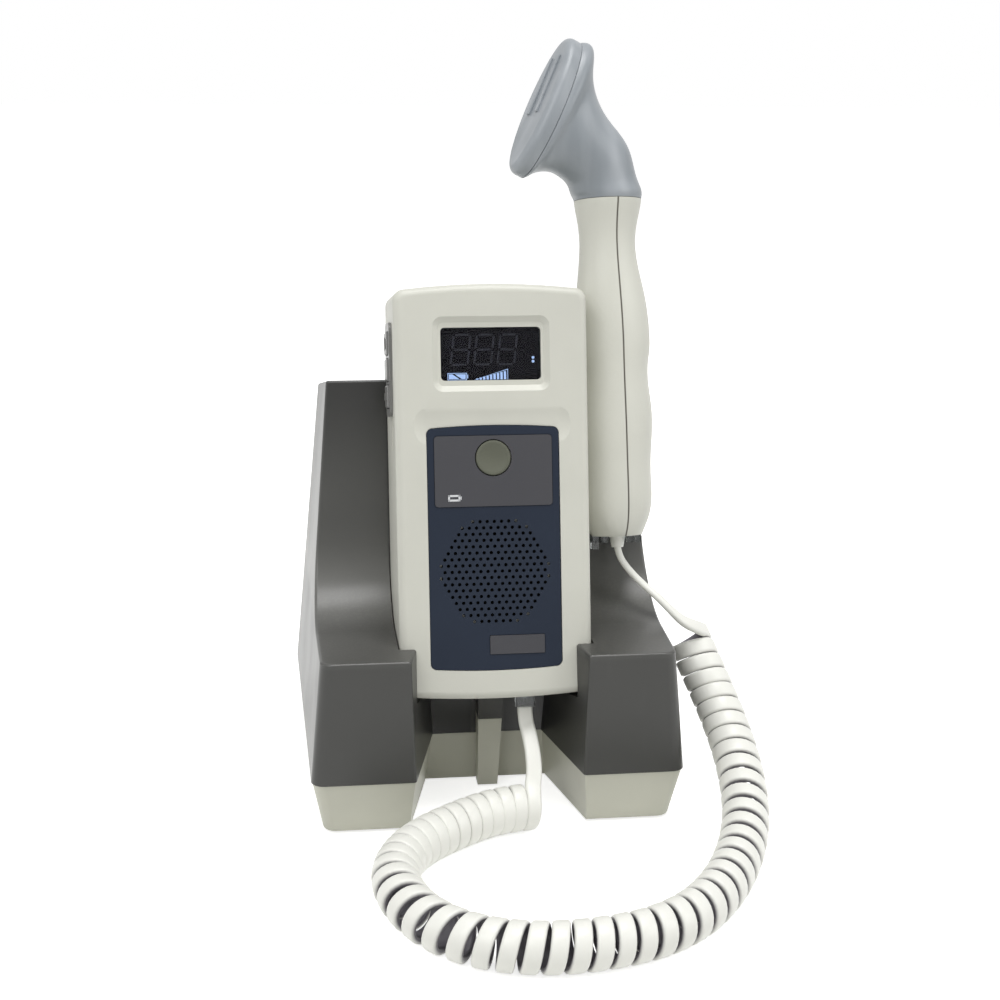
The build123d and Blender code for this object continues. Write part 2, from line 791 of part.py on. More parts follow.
def make_back_shell():
    shell = unit_body() - unit_body(unit_wall)
    shell &= box_between((-60, seam_depth + fit_gap / 2, -1), (60, unit_depth + 1, unit_length + 1))
    for x, z in case_screws:
        boss = Pos(x, (seam_depth + unit_depth) / 2, z) * Rot(90, 0, 0) * Cylinder(
            3.8, unit_depth - seam_depth - fit_gap
        )
        shell += boss & unit_body(unit_wall / 2) & box_between(
            (-60, seam_depth + fit_gap / 2, -1), (60, unit_depth + 1, unit_length + 1)
        )
        shell -= Pos(x, seam_depth + 5, z) * Rot(90, 0, 0) * Cylinder(screw_radius + screw_clearance, 12)
        shell -= Pos(x, unit_depth - 2.5, z) * Rot(90, 0, 0) * Cylinder(
            screw_head_radius + screw_clearance, 5.02
        )
    # Battery opening with a ledge for the door
    middle = door_low + door_height / 2
    ledge = unit_depth - door_thickness
    hole_width, hole_height = door_width + 2 * fit_gap, door_height + 2 * fit_gap
    shell -= rounded_plate(hole_width, hole_height, 3, ledge, unit_depth + 1, 0, middle)
    shell -= rounded_plate(door_width - 5, door_height - 5, 2, unit_depth - 6, unit_depth + 1, 0, middle)
    # Charging pads are let into the bottom
    for x, y in pin_places:
        shell -= Pos(x, y, 0) * Cylinder(pad_radius + 0.1, 2.0)
    return shell


def make_battery_door():
    middle = door_low + door_height / 2
    door = rounded_plate(
        door_width, door_height, 3, unit_depth - door_thickness + 0.05, unit_depth, 0, middle
    )
    finger_dip = Pos(0, unit_depth + 6.0, door_low + door_height - 9) * Rot(0, 90, 0) * Cylinder(6.6, 16)
    hole = Pos(0, unit_depth - 1, door_low + 6) * Rot(90, 0, 0) * Cylinder(1.2, 6)
    return door - finger_dip - hole


def make_window():
    low = bezel_depth + 0.6
    return rounded_plate(
        window_width - 2 * fit_gap, window_height - 2 * fit_gap, 1.5, low, low + window_thickness, 0, window_z
    )


def make_display_module():
    low = max(bezel_depth + 0.6 + window_thickness, bezel_depth + 2.4) + fit_gap
    case = rounded_plate(window_width + 3, window_height + 4, 1.0, low, low + module_depth, 0, window_z)
    board = box_between(
        (-window_width / 2 - 4, low + module_depth, window_z - window_height / 2 - 4),
        (window_width / 2 + 4, low + module_depth + board_thickness, window_z + window_height / 2 + 4),
    )
    return case + board


def grille_points():
    rows = len(grille_rows)
    row_pitch = grille_pitch * sqrt(3) / 2
    points = []
    for r, count in enumerate(grille_rows):
        z = grille_centre + (rows - 1) / 2 * row_pitch - r * row_pitch
        for i in range(count):
            points.append(((i - (count - 1) / 2) * grille_pitch, z))
    return points


def make_grille_panel():
    sketch = panel_outline()
    sketch -= [Pos(x, z) * Circle(grille_hole / 2) for x, z in grille_points()]
    sketch -= Pos(0, button_centre) * Circle(button_radius + button_gap + 0.4)
    panel = Pos(0, panel_back - 0.05, 0) * extrude(Plane.XZ * sketch, panel_thickness)
    label_floor = panel_face + plate_sink
    panel -= rounded_plate(
        label_width + 2 * fit_gap, label_height + 2 * fit_gap, 1.6, -1, label_floor, 0, label_centre
    )
    panel -= rounded_plate(
        model_width + 2 * fit_gap, model_height + 2 * fit_gap, 0.6, -1, label_floor, model_x, model_centre
    )
    return panel


def plate_at(width, height, corner, x, z):
    back = panel_face + plate_sink - 0.02
    return rounded_plate(width, height, corner, back - plate_thickness, back, x, z)


def make_label_plate():
    plate = plate_at(label_width, label_height, 1.4, 0, label_centre)
    return plate - Pos(0, 0, button_centre) * Rot(90, 0, 0) * Cylinder(button_radius + button_gap, 8)


def make_model_plate():
    return plate_at(model_width, model_height, 0.5, model_x, model_centre)


button_front = panel_face + plate_sink - plate_thickness
switch_face = button_front + 7.6


def make_button():
    flange_front = panel_back + pad_thickness + 0.1
    flange_back = flange_front + button_flange
    length = flange_back - button_front
    cap = Pos(0, button_front + length / 2, button_centre) * Rot(90, 0, 0) * Cylinder(button_radius, length)
    cap = fillet(edges_where(cap, lambda e: e.bounding_box().max.Y < button_front + 0.01), 0.6)
    ball_radius = (button_radius ** 2 * 0.72 + button_dish ** 2) / (2 * button_dish)
    dish = Pos(0, button_front + button_dish - ball_radius, button_centre) * Sphere(ball_radius)
    cap -= dish
    cap += ring_y(button_radius + button_flange, 0, flange_front, flange_back, button_centre)
    stem_back = switch_face - 0.6 - button_travel - 0.05
    return cap + ring_y(2.0, 0, flange_back - 0.5, stem_back, button_centre)


def make_switch():
    base = Pos(0, switch_face + 2.2, button_centre) * Box(6.2, 3.4, 6.2)
    stem = Pos(0, switch_face + 0.0, button_centre) * Rot(90, 0, 0) * Cylinder(1.6, 1.2)
    return base + stem


def make_main_board():
    y = switch_face + 4.0
    half = unit_width / 2 - 5.0
    low, high = button_centre - 19.3, button_centre + 15.7
    board = box_between((-half, y, low), (half, y + board_thickness, high))
    chips = (
        Pos(-18, y + board_thickness + 0.9, 86) * Box(12, 1.8, 12),
        Pos(8, y + board_thickness + 0.8, 84) * Box(9, 1.6, 9),
        Pos(20, y + board_thickness + 1.5, 98) * Box(6, 3.0, 8),
    )
    for chip in chips:
        board += chip
    return board


def ring_y(radius, inner, y_low, y_high, z):
    disc = Pos(0, (y_low + y_high) / 2, z) * Rot(90, 0, 0) * Cylinder(radius, y_high - y_low)
    if inner:
        disc -= Pos(0, (y_low + y_high) / 2, z) * Rot(90, 0, 0) * Cylinder(inner, y_high - y_low + 1)
    return disc


speaker_front = panel_back + pad_thickness + fit_gap


def make_speaker_frame():
    y = speaker_front
    frame = ring_y(speaker_radius, speaker_radius - 3.0, y, y + speaker_flange, grille_centre)
    outline = Polyline(
        (magnet_radius, speaker_body),
        (speaker_radius - 2.5, speaker_flange),
        (speaker_radius - 1.2, speaker_flange - 0.4),
        (magnet_radius, speaker_body + 1.4),
        (magnet_radius - 4, speaker_body + 1.4),
        (magnet_radius - 4, speaker_body),
        close=True,
    )
    basket = revolve(make_face(outline), Axis.Y)
    for k in range(3):
        basket -= Rot(0, 120 * k, 0) * Pos(speaker_radius - 9, 0, 0) * Box(7, 40, 6)
    return frame + Pos(0, y, grille_centre) * basket


def make_speaker_cone():
    y = speaker_front
    outline = Polyline(
        (4.0, 4.6), (speaker_radius - 3.3, 0.5), (speaker_radius - 3.3, 1.0), (4.0, 5.2), (0, 4.4), (0, 3.8),
        close=True,
    )
    return Pos(0, y, grille_centre) * revolve(make_face(outline), Axis.Y)


def make_speaker_magnet():
    y = speaker_front + speaker_body + 1.4 + 0.05
    return ring_y(magnet_radius, 0, y, y + magnet_height, grille_centre)


def make_cells():
    cells = []
    for k in range(4):
        x = (k - 1.5) * cell_pitch
        y = unit_depth - door_thickness - cell_radius - 0.8
        z = cell_low + cell_length / 2
        cell = Pos(x, y, z) * Cylinder(cell_radius, cell_length - 1.2)
        nub_end = 1 if k % 2 else -1
        nub = Pos(x, y, z + nub_end * (cell_length - 0.6) / 2) * Cylinder(2.6, 1.2)
        cells.append(cell + nub)
    return group(cells)


def make_cell_tray():
    x = 2 * cell_pitch + 1.4
    y_back = unit_depth - door_thickness - 2 * cell_radius - 0.8 - 0.3
    top = cell_low + cell_length + 2.4
    low = cell_low - 2.4
    back = box_between((-x, y_back - 1.2, low), (x, y_back, top))
    ends = box_between((-x, y_back, low), (x, unit_depth - door_thickness - 2.6, cell_low - 1.2))
    ends += box_between((-x, y_back, top - 1.2), (x, unit_depth - door_thickness - 2.6, top))
    return back + ends


def make_cell_contacts():
    pieces = []
    for k in range(4):
        x = (k - 1.5) * cell_pitch
        y = unit_depth - door_thickness - cell_radius - 0.8
        for z, side in ((cell_low - 0.75, -1), (cell_low + cell_length + 0.75, 1)):
            pieces.append(Pos(x, y, z) * Box(8, 8, 0.5))
    return group(pieces)


def make_key_frame():
    x_out = -unit_width / 2 - key_proud
    x_in = -unit_width / 2 + unit_wall + 0.6
    middle_y = key_strip_front + key_strip_width / 2
    lip = Pos(-unit_width / 2 - 0.02, middle_y, key_strip_centre) * Rot(0, -90, 0) * extrude(
        RectangleRounded(key_strip_height, key_strip_width, 4.0), key_proud - 0.5
    )
    neck = box_between(
        (-unit_width / 2 - 0.1, key_strip_front + key_border + fit_gap, strip_low + key_border + fit_gap),
        (x_in, strip_back - key_border - fit_gap, strip_high - key_border - fit_gap),
    )
    frame = lip + neck
    for low, high in key_spans:
        frame -= box_between(
            (x_out - 1, key_strip_front + key_border + 1.2, low - key_gap),
            (x_in + 1, strip_back - key_border - 1.2, high + key_gap),
        )
    return frame


key_zone_low = strip_low + key_border + 1.4
key_zone_high = strip_high - key_border - 1.4
key_bar = 1.6
key_height = (key_zone_high - key_zone_low - 2 * key_bar) / 3
key_spans = [
    (key_zone_low + k * (key_height + key_bar), key_zone_low + k * (key_height + key_bar) + key_height)
    for k in range(3)
]
key_tail = -unit_width / 2 + unit_wall + 2.4


def make_key(index):
    low, high = key_spans[index]
    x_out = -unit_width / 2 - key_proud - 0.3
    y_low = key_strip_front + key_border + 1.2 + key_gap
    y_high = strip_back - key_border - 1.2 - key_gap
    key = box_between((x_out, y_low, low), (key_tail, y_high, high))
    key = fillet(edges_where(key, lambda e: e.bounding_box().max.X < x_out + 0.01), 0.8)
    middle = ((y_low + y_high) / 2, (low + high) / 2)
    if index == 2:
        key -= Pos(x_out - key_dimple, middle[0], middle[1]) * Cylinder(
            key_dimple * 1.15, 9.0, rotation=(90, 0, 0)
        )
    if index == 0:
        key += Pos(x_out, middle[0], middle[1]) * Box(0.8, 7.0, 3.0)
    return key


def make_key_switches():
    pieces = []
    face = key_tail + key_travel + 0.3
    for low, high in key_spans:
        z = (low + high) / 2
        y = key_strip_front + key_strip_width / 2
        pieces.append(Pos(face + 1.0, y, z) * Box(2.0, 4.5, 4.5))
    return group(pieces)


def make_key_board():
    x = key_tail + key_travel + 0.3 + 2.05
    return box_between(
        (x, key_strip_front + 2, strip_low + 1), (x + board_thickness, strip_back - 2, strip_high - 1)
    )


def make_jack():
    block = box_between(
        (plug_x - jack_size[0] / 2, plug_depth - jack_size[1] / 2, jack_low),
        (plug_x + jack_size[0] / 2, plug_depth + jack_size[1] / 2, jack_height),
    )
    bay = box_between(
        (plug_x - plug_width / 2 - fit_gap, plug_depth - plug_thickness / 2 - fit_gap, 0),
        (plug_x + plug_width / 2 + fit_gap, plug_depth + plug_thickness / 2 + fit_gap, jack_height - 1.8),
    )
    return block - bay


plug_bottom = -plug_showing
plug_top = plug_bottom + plug_length


def make_plug():
    body = box_between(
        (plug_x - plug_width / 2, plug_depth - plug_thickness / 2, plug_bottom),
        (plug_x + plug_width / 2, plug_depth + plug_thickness / 2 - 1.6, plug_top),
    )
    body = fillet(edges_where(body, lambda e: spans(e, "z") > 10), 0.6)
    # Slots over the contacts
    for k in range(4):
        x = plug_x + (k - 1.5) * 1.3
        body -= Pos(x, plug_depth - plug_thickness / 2, plug_top - 3) * Box(0.5, 2.4, 6.1)
    # Latch along the back, joined at the inner end
    latch = box_between(
        (plug_x - 1.6, plug_depth + plug_thickness / 2 - 1.0, plug_bottom + 3.0),
        (plug_x + 1.6, plug_depth + plug_thickness / 2, plug_top - 0.5),
    )
    root = box_between(
        (plug_x - 1.6, plug_depth + plug_thickness / 2 - 2.0, plug_top - 2.0),
        (plug_x + 1.6, plug_depth + plug_thickness / 2, plug_top - 0.5),
    )
    return body + latch + root


def make_plug_contacts():
    pieces = []
    for k in range(4):
        x = plug_x + (k - 1.5) * 1.3
        pieces.append(Pos(x, plug_depth - plug_thickness / 2 + 0.6, plug_top - 3) * Box(0.35, 1.1, 5.0))
    return group(pieces)


def make_charge_pads():
    return group([Pos(x, y, 0.5) * Cylinder(pad_radius, 0.8) for x, y in pin_places])


def make_unit_screws():
    pieces = []
    for x, z in case_screws:
        head_y = unit_depth - 5.0
        pieces.append(Pos(x, head_y, z) * Rot(90, 0, 0) * screw(12.0))
    length = 5.0
    door_screw = Rot(90, 0, 0) * Cylinder(1.05, length)
    pieces.append(Pos(0, unit_depth - 0.2 - length / 2, door_low + 6) * door_screw)
    return group(pieces)


# Probe, in its own upright frame: z along the handle, the face looks to -x

def oval(x_half, y_half, z, x=0.0):
    return Pos(x, 0, z) * Ellipse(x_half, y_half)


def handle_body(inset=0.0):
    faces = []
    for z, x_half, y_half, x in handle_stations:
        at = min(max(z, inset), handle_top - (0 if inset == 0 else -1))
        faces.append(oval(x_half - inset, y_half - inset, at, x))
    return loft(faces)


def make_handle_halves():
    shell = handle_body() - handle_body(handle_wall)
    # Thumb hollows on both flanks of the neck, either side of the seam
    for side_x in (-1, 1):
        for side_y in (-1, 1):
            hollow = Pos(side_x * 13.4, side_y * 13.4, 121) * scale(Sphere(10), (0.62, 0.62, 1.9))
            shell -= hollow
    shell += (Pos(0, 0, 2.2) * Cylinder(9.2, 4.0)) & handle_body()
    shell -= Cylinder(relief_radius - 0.9, 20)
    for z in probe_screw_heights:
        boss = Pos(0, 0, z) * Rot(0, 90, 0) * Cylinder(3.6, 40)
        shell += boss & handle_body(handle_wall / 2)
    front_half = shell & box_between((-30, -30, -1), (seam_x - half_gap / 2, 30, handle_top - 0.1))
    back_half = shell & box_between((seam_x + half_gap / 2, -30, -1), (30, 30, handle_top - 0.1))
    for z in probe_screw_heights:
        front_half -= Pos(-4, 0, z) * Rot(0, 90, 0) * Cylinder(screw_radius + screw_clearance, 14)
        back_half -= Pos(0, 0, z) * Rot(0, 90, 0) * Cylinder(screw_radius + screw_clearance, 40)
        back_half -= Pos(14, 0, z) * Rot(0, 90, 0) * Cylinder(screw_head_radius + screw_clearance, 8)
    return front_half, back_half


probe_screw_heights = (22.0, 78.0)


def make_probe_screws():
    screws = [Pos(10.0, 0, z) * Rot(0, -90, 0) * screw(18.0) for z in probe_screw_heights]
    return group(screws)


face_axis = Rot(0, -(90 - face_tilt), 0)
face_place = Pos(-face_reach, 0, face_height) * face_axis


def head_sections(inset=0.0):
    faces = []
    for (back_x, back_z), (under_x, under_z), y_half in head_stations:
        x_half = sqrt((back_x - under_x) ** 2 + (back_z - under_z) ** 2) / 2
        tilt = degrees(atan2(back_z - under_z, back_x - under_x))
        place = Pos((back_x + under_x) / 2, 0, (back_z + under_z) / 2) * Rot(0, -tilt, 0)
        faces.append(place * Ellipse(x_half - inset, y_half - inset))
    edge = face_place * Pos(0, 0, -cap_thickness - cap_gap)
    faces.append(edge * Ellipse(face_length / 2 - inset, face_width / 2 - 0.1 - inset))
    return faces


def make_probe_head():
    outer = loft(head_sections())
    inner = loft(head_sections(head_wall))
    return outer - inner


def make_probe_face():
    low = Pos(0, 0, -cap_thickness) * Ellipse(face_length / 2, face_width / 2)
    cap = extrude(low, cap_thickness)
    rim = cap.edges().sort_by(Axis.Z)[-1]
    cap = fillet(rim, cap_rounding)
    for side in (-1, 1):
        bar = Pos(bar_offset, side * bar_spacing / 2, bar_height / 2 - 0.2) * Box(
            bar_length, bar_width, bar_height + 0.4
        )
        bar = fillet(edges_where(bar, lambda e: e.bounding_box().min.Z > bar_height - 0.01), 0.4)
        cap += bar
    hollow = Pos(0, 0, -cap_thickness) * Ellipse(face_length / 2 - 4, face_width / 2 - 4)
    cap -= extrude(hollow, cap_thickness - cap_skin)
    return face_place * cap


def make_crystals():
    place = face_place * Pos(4, 0, -cap_skin - 0.05 - 0.55)
    return group([place * Pos(0, y, 0) * Box(bar_length, 5.4, 1.1) for y in (-3.4, 3.4)])


def make_backing():
    thickness = 3.6
    place = face_place * Pos(4, 0, -cap_skin - 1.2 - thickness / 2)
    return place * Box(bar_length + 3, 14, thickness)


def make_probe_board():
    return box_between((-8.5, -0.8, 28), (8.5, 0.8, 74)) + box_between((-6, 0.8, 40), (3, 2.6, 52))


def make_relief():
    length = relief_length
    boot = Pos(0, 0, -length / 2) * Cone(relief_radius - 0.9, relief_radius, length)
    collar = Pos(0, 0, 2.6) * Cylinder(relief_radius - 1.1, 5.4)
    disc = Pos(0, 0, relief_disc_top - 0.9) * Cylinder(relief_radius + 1.6, 1.8)
    return boot + collar + disc


def make_clamp():
    middle = relief_disc_top + clamp_height / 2 + 0.1
    return Pos(0, 0, middle) * Box(12, 7, clamp_height) - Pos(0, 0, middle) * Cylinder(1.8, 6)


# Cord: hand-chosen routes in the stand's front frame (y from the stand's front edge)

def at_front(points):
    return [Vector(x, y + front, z) for x, y, z in points]


def turn_radii(points):
    radii = []
    for i in range(1, len(points) - 1):
        before = points[i] - points[i - 1]
        after = points[i + 1] - points[i]
        half_turn = radians(before.get_angle(after)) / 2
        radii.append(0.45 * min(before.length, after.length) / tan(half_turn))
    return radii


def tube(points, name):
    radii = turn_radii(points)
    path = FilletPolyline(*points, radius=radii).wire()
    section = Plane(origin=points[0], z_dir=points[1] - points[0]) * Circle(cord_diameter / 2)
    solid = sweep(section, path=path)
    expected = pi * cord_diameter ** 2 / 4 * path.length
    runs = [round((points[i + 1] - points[i]).length, 1) for i in range(len(points) - 1)]
    print(name, "runs", runs, "radii", [round(r, 1) for r in radii], "length", round(path.length, 1))
    print(name, "volume", round(solid.volume, 1), "section times length", round(expected, 1))
    return solid


curl_route = at_front([
    (12.2, 1.8, 9.4),
    (4.5, 0.8, 9.4),
    (-7.0, -3.4, 9.4),
    (-19.5, -11.6, 9.4),
    (-31.5, -21.0, 9.4),
    (-41.0, -33.0, 9.4),
    (-45.4, -47.5, 9.4),
    (-43.8, -62.5, 9.4),
    (-37.6, -78.0, 9.4),
    (-27.0, -90.5, 9.4),
    (-12.5, -98.6, 9.4),
    (5.0, -102.0, 9.4),
    (24.0, -100.6, 9.4),
    (42.5, -95.8, 9.6),
    (59.0, -85.0, 9.8),
    (72.5, -68.5, 10.2),
    (83.0, -49.5, 11.0),
    (91.0, -29.0, 13.0),
    (95.4, -9.0, 17.5),
    (96.4, 10.0, 25.0),
    (94.2, 26.0, 34.8),
    (89.8, 38.5, 46.4),
    (84.2, 48.0, 59.6),
])


def biarc(p0, t0, p1, t1):
    v = p1 - p0
    t = t0 + t1
    a = 4 - t.dot(t)
    b = v.dot(t)
    d = (-b + sqrt(b * b + a * v.dot(v))) / a
    q0 = p0 + t0 * d
    q1 = p1 - t1 * d
    middle = (q0 + q1) / 2
    first = Edge.make_tangent_arc(p0, t0, middle)
    second = Edge.make_tangent_arc(middle, first.tangent_at(1), p1)
    return [first, second]


def turns_up_to(distance):
    turns = 0.0
    for (low, low_pitch), (high, high_pitch) in zip(curl_pitches, curl_pitches[1:]):
        reach = min(max(distance - low, 0.0), high - low)
        end_pitch = low_pitch + (high_pitch - low_pitch) * reach / (high - low)
        turns += 2 * reach / (low_pitch + end_pitch)
    return turns


def share_of_route(wound):
    # Share of the route at which the given share of the turns is wound
    whole = curl_pitches[-1][0]
    wanted = wound * turns_up_to(whole)
    low, high = 0.0, 1.0
    for _ in range(45):
        middle = (low + high) / 2
        if turns_up_to(middle * whole) < wanted:
            low = middle
        else:
            high = middle
    return (low + high) / 2


def curl_frame(route, share):
    centre = route.position_at(share)
    along = route.tangent_at(share)
    side = Vector(0, 0, 1).cross(along).normalized()
    up = along.cross(side).normalized()
    return centre, side, up


curl_start_angle = radians(60)
curl_leave_angle = radians(115)
curl_turning = 2 * pi * curl_count + curl_start_angle - curl_leave_angle


def curl_point(route, wound):
    # Left-handed turns about the route, from the unit's lead to the probe's
    centre, side, up = curl_frame(route, share_of_route(wound))
    angle = curl_start_angle - curl_turning * wound
    radius = (curl_diameter - cord_diameter) / 2
    return centre + side * (radius * cos(angle)) + up * (radius * sin(angle))


def curl_tangent(route, wound):
    step = 2e-5
    low, high = max(wound - step, 0), min(wound + step, 1)
    return (curl_point(route, high) - curl_point(route, low)).normalized()


def make_curls():
    route = FilletPolyline(*curl_route, radius=turn_radii(curl_route)).wire()
    spans_count = round(curl_turning / (pi / 2))
    edges = []
    points = [curl_point(route, k / spans_count) for k in range(spans_count + 1)]
    tangents = [curl_tangent(route, k / spans_count) for k in range(spans_count + 1)]
    start = points[0] - tangents[0] * cord_diameter
    end = points[-1] + tangents[-1] * cord_diameter
    edges.append(Edge.make_line(start, points[0]))
    for k in range(spans_count):
        edges += biarc(points[k], tangents[k], points[k + 1], tangents[k + 1])
    edges.append(Edge.make_line(points[-1], end))
    path = Wire(edges)
    section = Plane(origin=start, z_dir=tangents[0]) * Circle(cord_diameter / 2)
    solid = sweep(section, path=path)
    samples = [curl_point(route, k / (spans_count * 6)) for k in range(spans_count * 6 + 1)]
    per_turn = 24
    least = min(
        (samples[i] - samples[j]).length
        for i in range(len(samples))
        for j in range(i + per_turn // 2, min(i + per_turn * 2, len(samples)))
    )
    print("curls", curl_count, "route", round(route.length, 1), "wire", round(path.length, 1))
    print("curls least gap", round(least - cord_diameter, 2), "lowest", round(solid.bounding_box().min.Z, 2))
    print("curls volume", round(solid.volume, 1), "of", round(pi * cord_diameter ** 2 / 4 * path.length, 1))
    return solid, start, tangents[0], end, tangents[-1]


def make_leads(start, start_dir, end, end_dir):
    exit_y = plug_depth - 0.8
    unit_exit = (unit_place * Pos(plug_x, exit_y, plug_bottom)).position
    unit_drop = (unit_place * Pos(plug_x, exit_y, plug_bottom - 7.8)).position
    into_curls = start - start_dir * 8.2
    bow = (unit_drop + into_curls) / 2 + Vector(2.0, 1.2, -0.5)
    unit_lead = tube([unit_exit, unit_drop, bow, into_curls, start], "unit_lead")
    probe_exit = (probe_place * Pos(0, 0, -relief_length)).position
    probe_drop = (probe_place * Pos(0, 0, -relief_length - 4.0)).position
    points = [end, end + end_dir * 5.0]
    for share, offset in probe_lead_bends:
        points.append(end + (probe_exit - end) * share + Vector(*offset))
    probe_lead = tube(points + [probe_drop, probe_exit], "probe_lead")
    return unit_lead, probe_lead


def build_all():
    os.makedirs("parts", exist_ok=True)
    export("stand_cover", make_cover())
    export("stand_tray", make_tray())
    export("stand_feet", make_feet())
    export("stand_screws", make_stand_screws())
    export("charge_board", make_charge_board())
    export("power_inlet", make_power_inlet())
    export("contact_block", make_contact_block())
    export("charge_pins", make_charge_pins())
    export("probe_bracket", make_bracket())
    export("bracket_screws", make_bracket_screws())

    in_unit = {
        "unit_front_shell": make_front_shell(),
        "unit_back_shell": make_back_shell(),
        "battery_door": make_battery_door(),
        "display_window": make_window(),
        "display_module": make_display_module(),
        "grille_panel": make_grille_panel(),
        "label_plate": make_label_plate(),
        "model_plate": make_model_plate(),
        "front_button": make_button(),
        "button_switch": make_switch(),
        "main_board": make_main_board(),
        "speaker_frame": make_speaker_frame(),
        "speaker_cone": make_speaker_cone(),
        "speaker_magnet": make_speaker_magnet(),
        "battery_cells": make_cells(),
        "cell_tray": make_cell_tray(),
        "cell_contacts": make_cell_contacts(),
        "key_frame": make_key_frame(),
        "key_top": make_key(2),
        "key_middle": make_key(1),
        "key_bottom": make_key(0),
        "key_switches": make_key_switches(),
        "key_board": make_key_board(),
        "modular_jack": make_jack(),
        "cord_plug": make_plug(),
        "plug_contacts": make_plug_contacts(),
        "charge_pads": make_charge_pads(),
        "unit_screws": make_unit_screws(),
    }
    for name, shape in in_unit.items():
        export(name, unit_place * shape)

    front_half, back_half = make_handle_halves()
    in_probe = {
        "probe_front_half": front_half,
        "probe_back_half": back_half,
        "probe_screws": make_probe_screws(),
        "probe_head": make_probe_head(),
        "probe_face": make_probe_face(),
        "transducer_crystals": make_crystals(),
        "backing_block": make_backing(),
        "probe_board": make_probe_board(),
        "strain_relief": make_relief(),
        "cable_clamp": make_clamp(),
    }
    for name, shape in in_probe.items():
        export(name, probe_place * shape)

    curls, start, start_dir, end, end_dir = make_curls()
    unit_lead, probe_lead = make_leads(start, start_dir, end, end_dir)
    export("cord_curls", curls)
    export("unit_lead", unit_lead)
    export("probe_lead", probe_lead)


build_all()
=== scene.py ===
from math import cos, pi, radians, sin
import bpy, bmesh
from mathutils import Matrix, Vector


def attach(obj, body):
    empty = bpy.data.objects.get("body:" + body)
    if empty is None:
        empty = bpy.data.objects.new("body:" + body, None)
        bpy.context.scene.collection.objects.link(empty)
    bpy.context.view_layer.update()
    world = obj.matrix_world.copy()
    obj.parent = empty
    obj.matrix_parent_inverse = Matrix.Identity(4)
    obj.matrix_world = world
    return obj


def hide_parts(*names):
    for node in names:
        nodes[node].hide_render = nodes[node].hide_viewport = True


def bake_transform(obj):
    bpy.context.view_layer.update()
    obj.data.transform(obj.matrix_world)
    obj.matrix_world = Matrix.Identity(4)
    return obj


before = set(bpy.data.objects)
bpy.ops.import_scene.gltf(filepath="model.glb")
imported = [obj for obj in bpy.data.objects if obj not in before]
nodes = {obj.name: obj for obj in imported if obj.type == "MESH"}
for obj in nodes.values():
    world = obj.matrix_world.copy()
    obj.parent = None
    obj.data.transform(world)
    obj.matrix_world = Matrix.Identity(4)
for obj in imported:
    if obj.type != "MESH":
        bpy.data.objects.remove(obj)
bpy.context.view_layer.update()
scene = bpy.context.scene
mm = 0.001
standFront = -0.070  # the stand's front edge; the cord points below are measured from it
print("frame loaded:", len(nodes), "nodes")


# Camera, at the photograph's angle

view = {
    "target": (0.006, -0.010, 0.1178),
    "distance": 0.7319,
    "elevation": 17.5,
    "turn": 7.9,
    "roll": 1.0,
    "lens": 64.93,
    "sensor": 36.0,
}


def makeCamera():
    up, turn, roll = radians(view["elevation"]), radians(view["turn"]), radians(view["roll"])
    forward = Vector((sin(turn) * cos(up), cos(turn) * cos(up), -sin(up)))
    level = Vector((cos(turn), -sin(turn), 0))
    upright = level.cross(forward)
    right = level * cos(roll) + upright * sin(roll)
    top = upright * cos(roll) - level * sin(roll)
    camera = bpy.data.cameras.new("camera")
    camera.lens = view["lens"]
    camera.sensor_width = view["sensor"]
    camera.clip_start = 0.02
    obj = bpy.data.objects.new("camera", camera)
    scene.collection.objects.link(obj)
    place = Vector(view["target"]) - forward * view["distance"]
    obj.matrix_world = Matrix.Translation(place) @ Matrix((right, top, -forward)).transposed().to_4x4()
    scene.camera = obj


makeCamera()
print("camera placed")


# Cord: one flat lead, straight at both ends and curled between

cordStyle = {
    "width": 6.4,          # of the flat lead
    "plugWidth": 6.0,      # where it enters the plug
    "reliefWidth": 3.6,    # where it enters the strain relief
    "widthShare": 0.98,    # at most this much of the pitch where the curls lie close
    "thickness": 2.7,
    "corner": 1.15,
    "edgeShade": 0.74,     # how dark the painted shade in the gap between two curls is
    "edgeFade": 1.06,      # height over the section's middle where that shade ends
    "curlAcross": 18.3,    # outside of a curl
    "curlCount": 50,
    "stepsPerTurn": 26,
    "stations": 4000,      # places along the route where the turns are counted
    "startAngle": 60.0,
    "leaveAngle": 115.0,
    "headingReach": 1.5,   # to each side of a place, for the route's direction there
    "tail": 2.0,           # straight run at each end of the curls
    "unitEase": 2.5,       # run of the unit's lead in line with the first curl
    "probeEase": 5.0,      # run of the probe's lead in line with the last curl
}

curlPoints = [  # mm, y from the stand's front edge
    (12.2, 1.8, 9.4), (4.5, 0.8, 9.4), (-7.0, -3.4, 9.4), (-19.5, -11.6, 9.4), (-31.5, -21.0, 9.4),
    (-41.0, -33.0, 9.4), (-45.4, -47.5, 9.4), (-43.8, -62.5, 9.4), (-37.6, -78.0, 9.4),
    (-27.0, -90.5, 9.4), (-12.5, -98.6, 9.4), (5.0, -102.0, 9.4), (24.0, -100.6, 9.4),
    (42.5, -95.8, 9.6), (59.0, -85.0, 9.8), (72.5, -68.5, 10.2), (83.0, -49.5, 11.0),
    (91.0, -29.0, 13.0), (95.4, -9.0, 17.5), (96.4, 10.0, 25.0), (94.2, 26.0, 34.8),
    (89.8, 38.5, 46.4), (84.2, 48.0, 59.6),
]
curlPitches = [  # distance along the route and the pitch there, mm
    (0, 5.9), (25, 5.95), (50, 6.3), (77, 6.8), (102, 9.0), (122, 9.2), (142, 7.7), (172, 7.3),
    (212, 7.6), (247, 8.7), (277, 9.5), (302, 9.2), (327, 7.4), (379, 6.7),
]


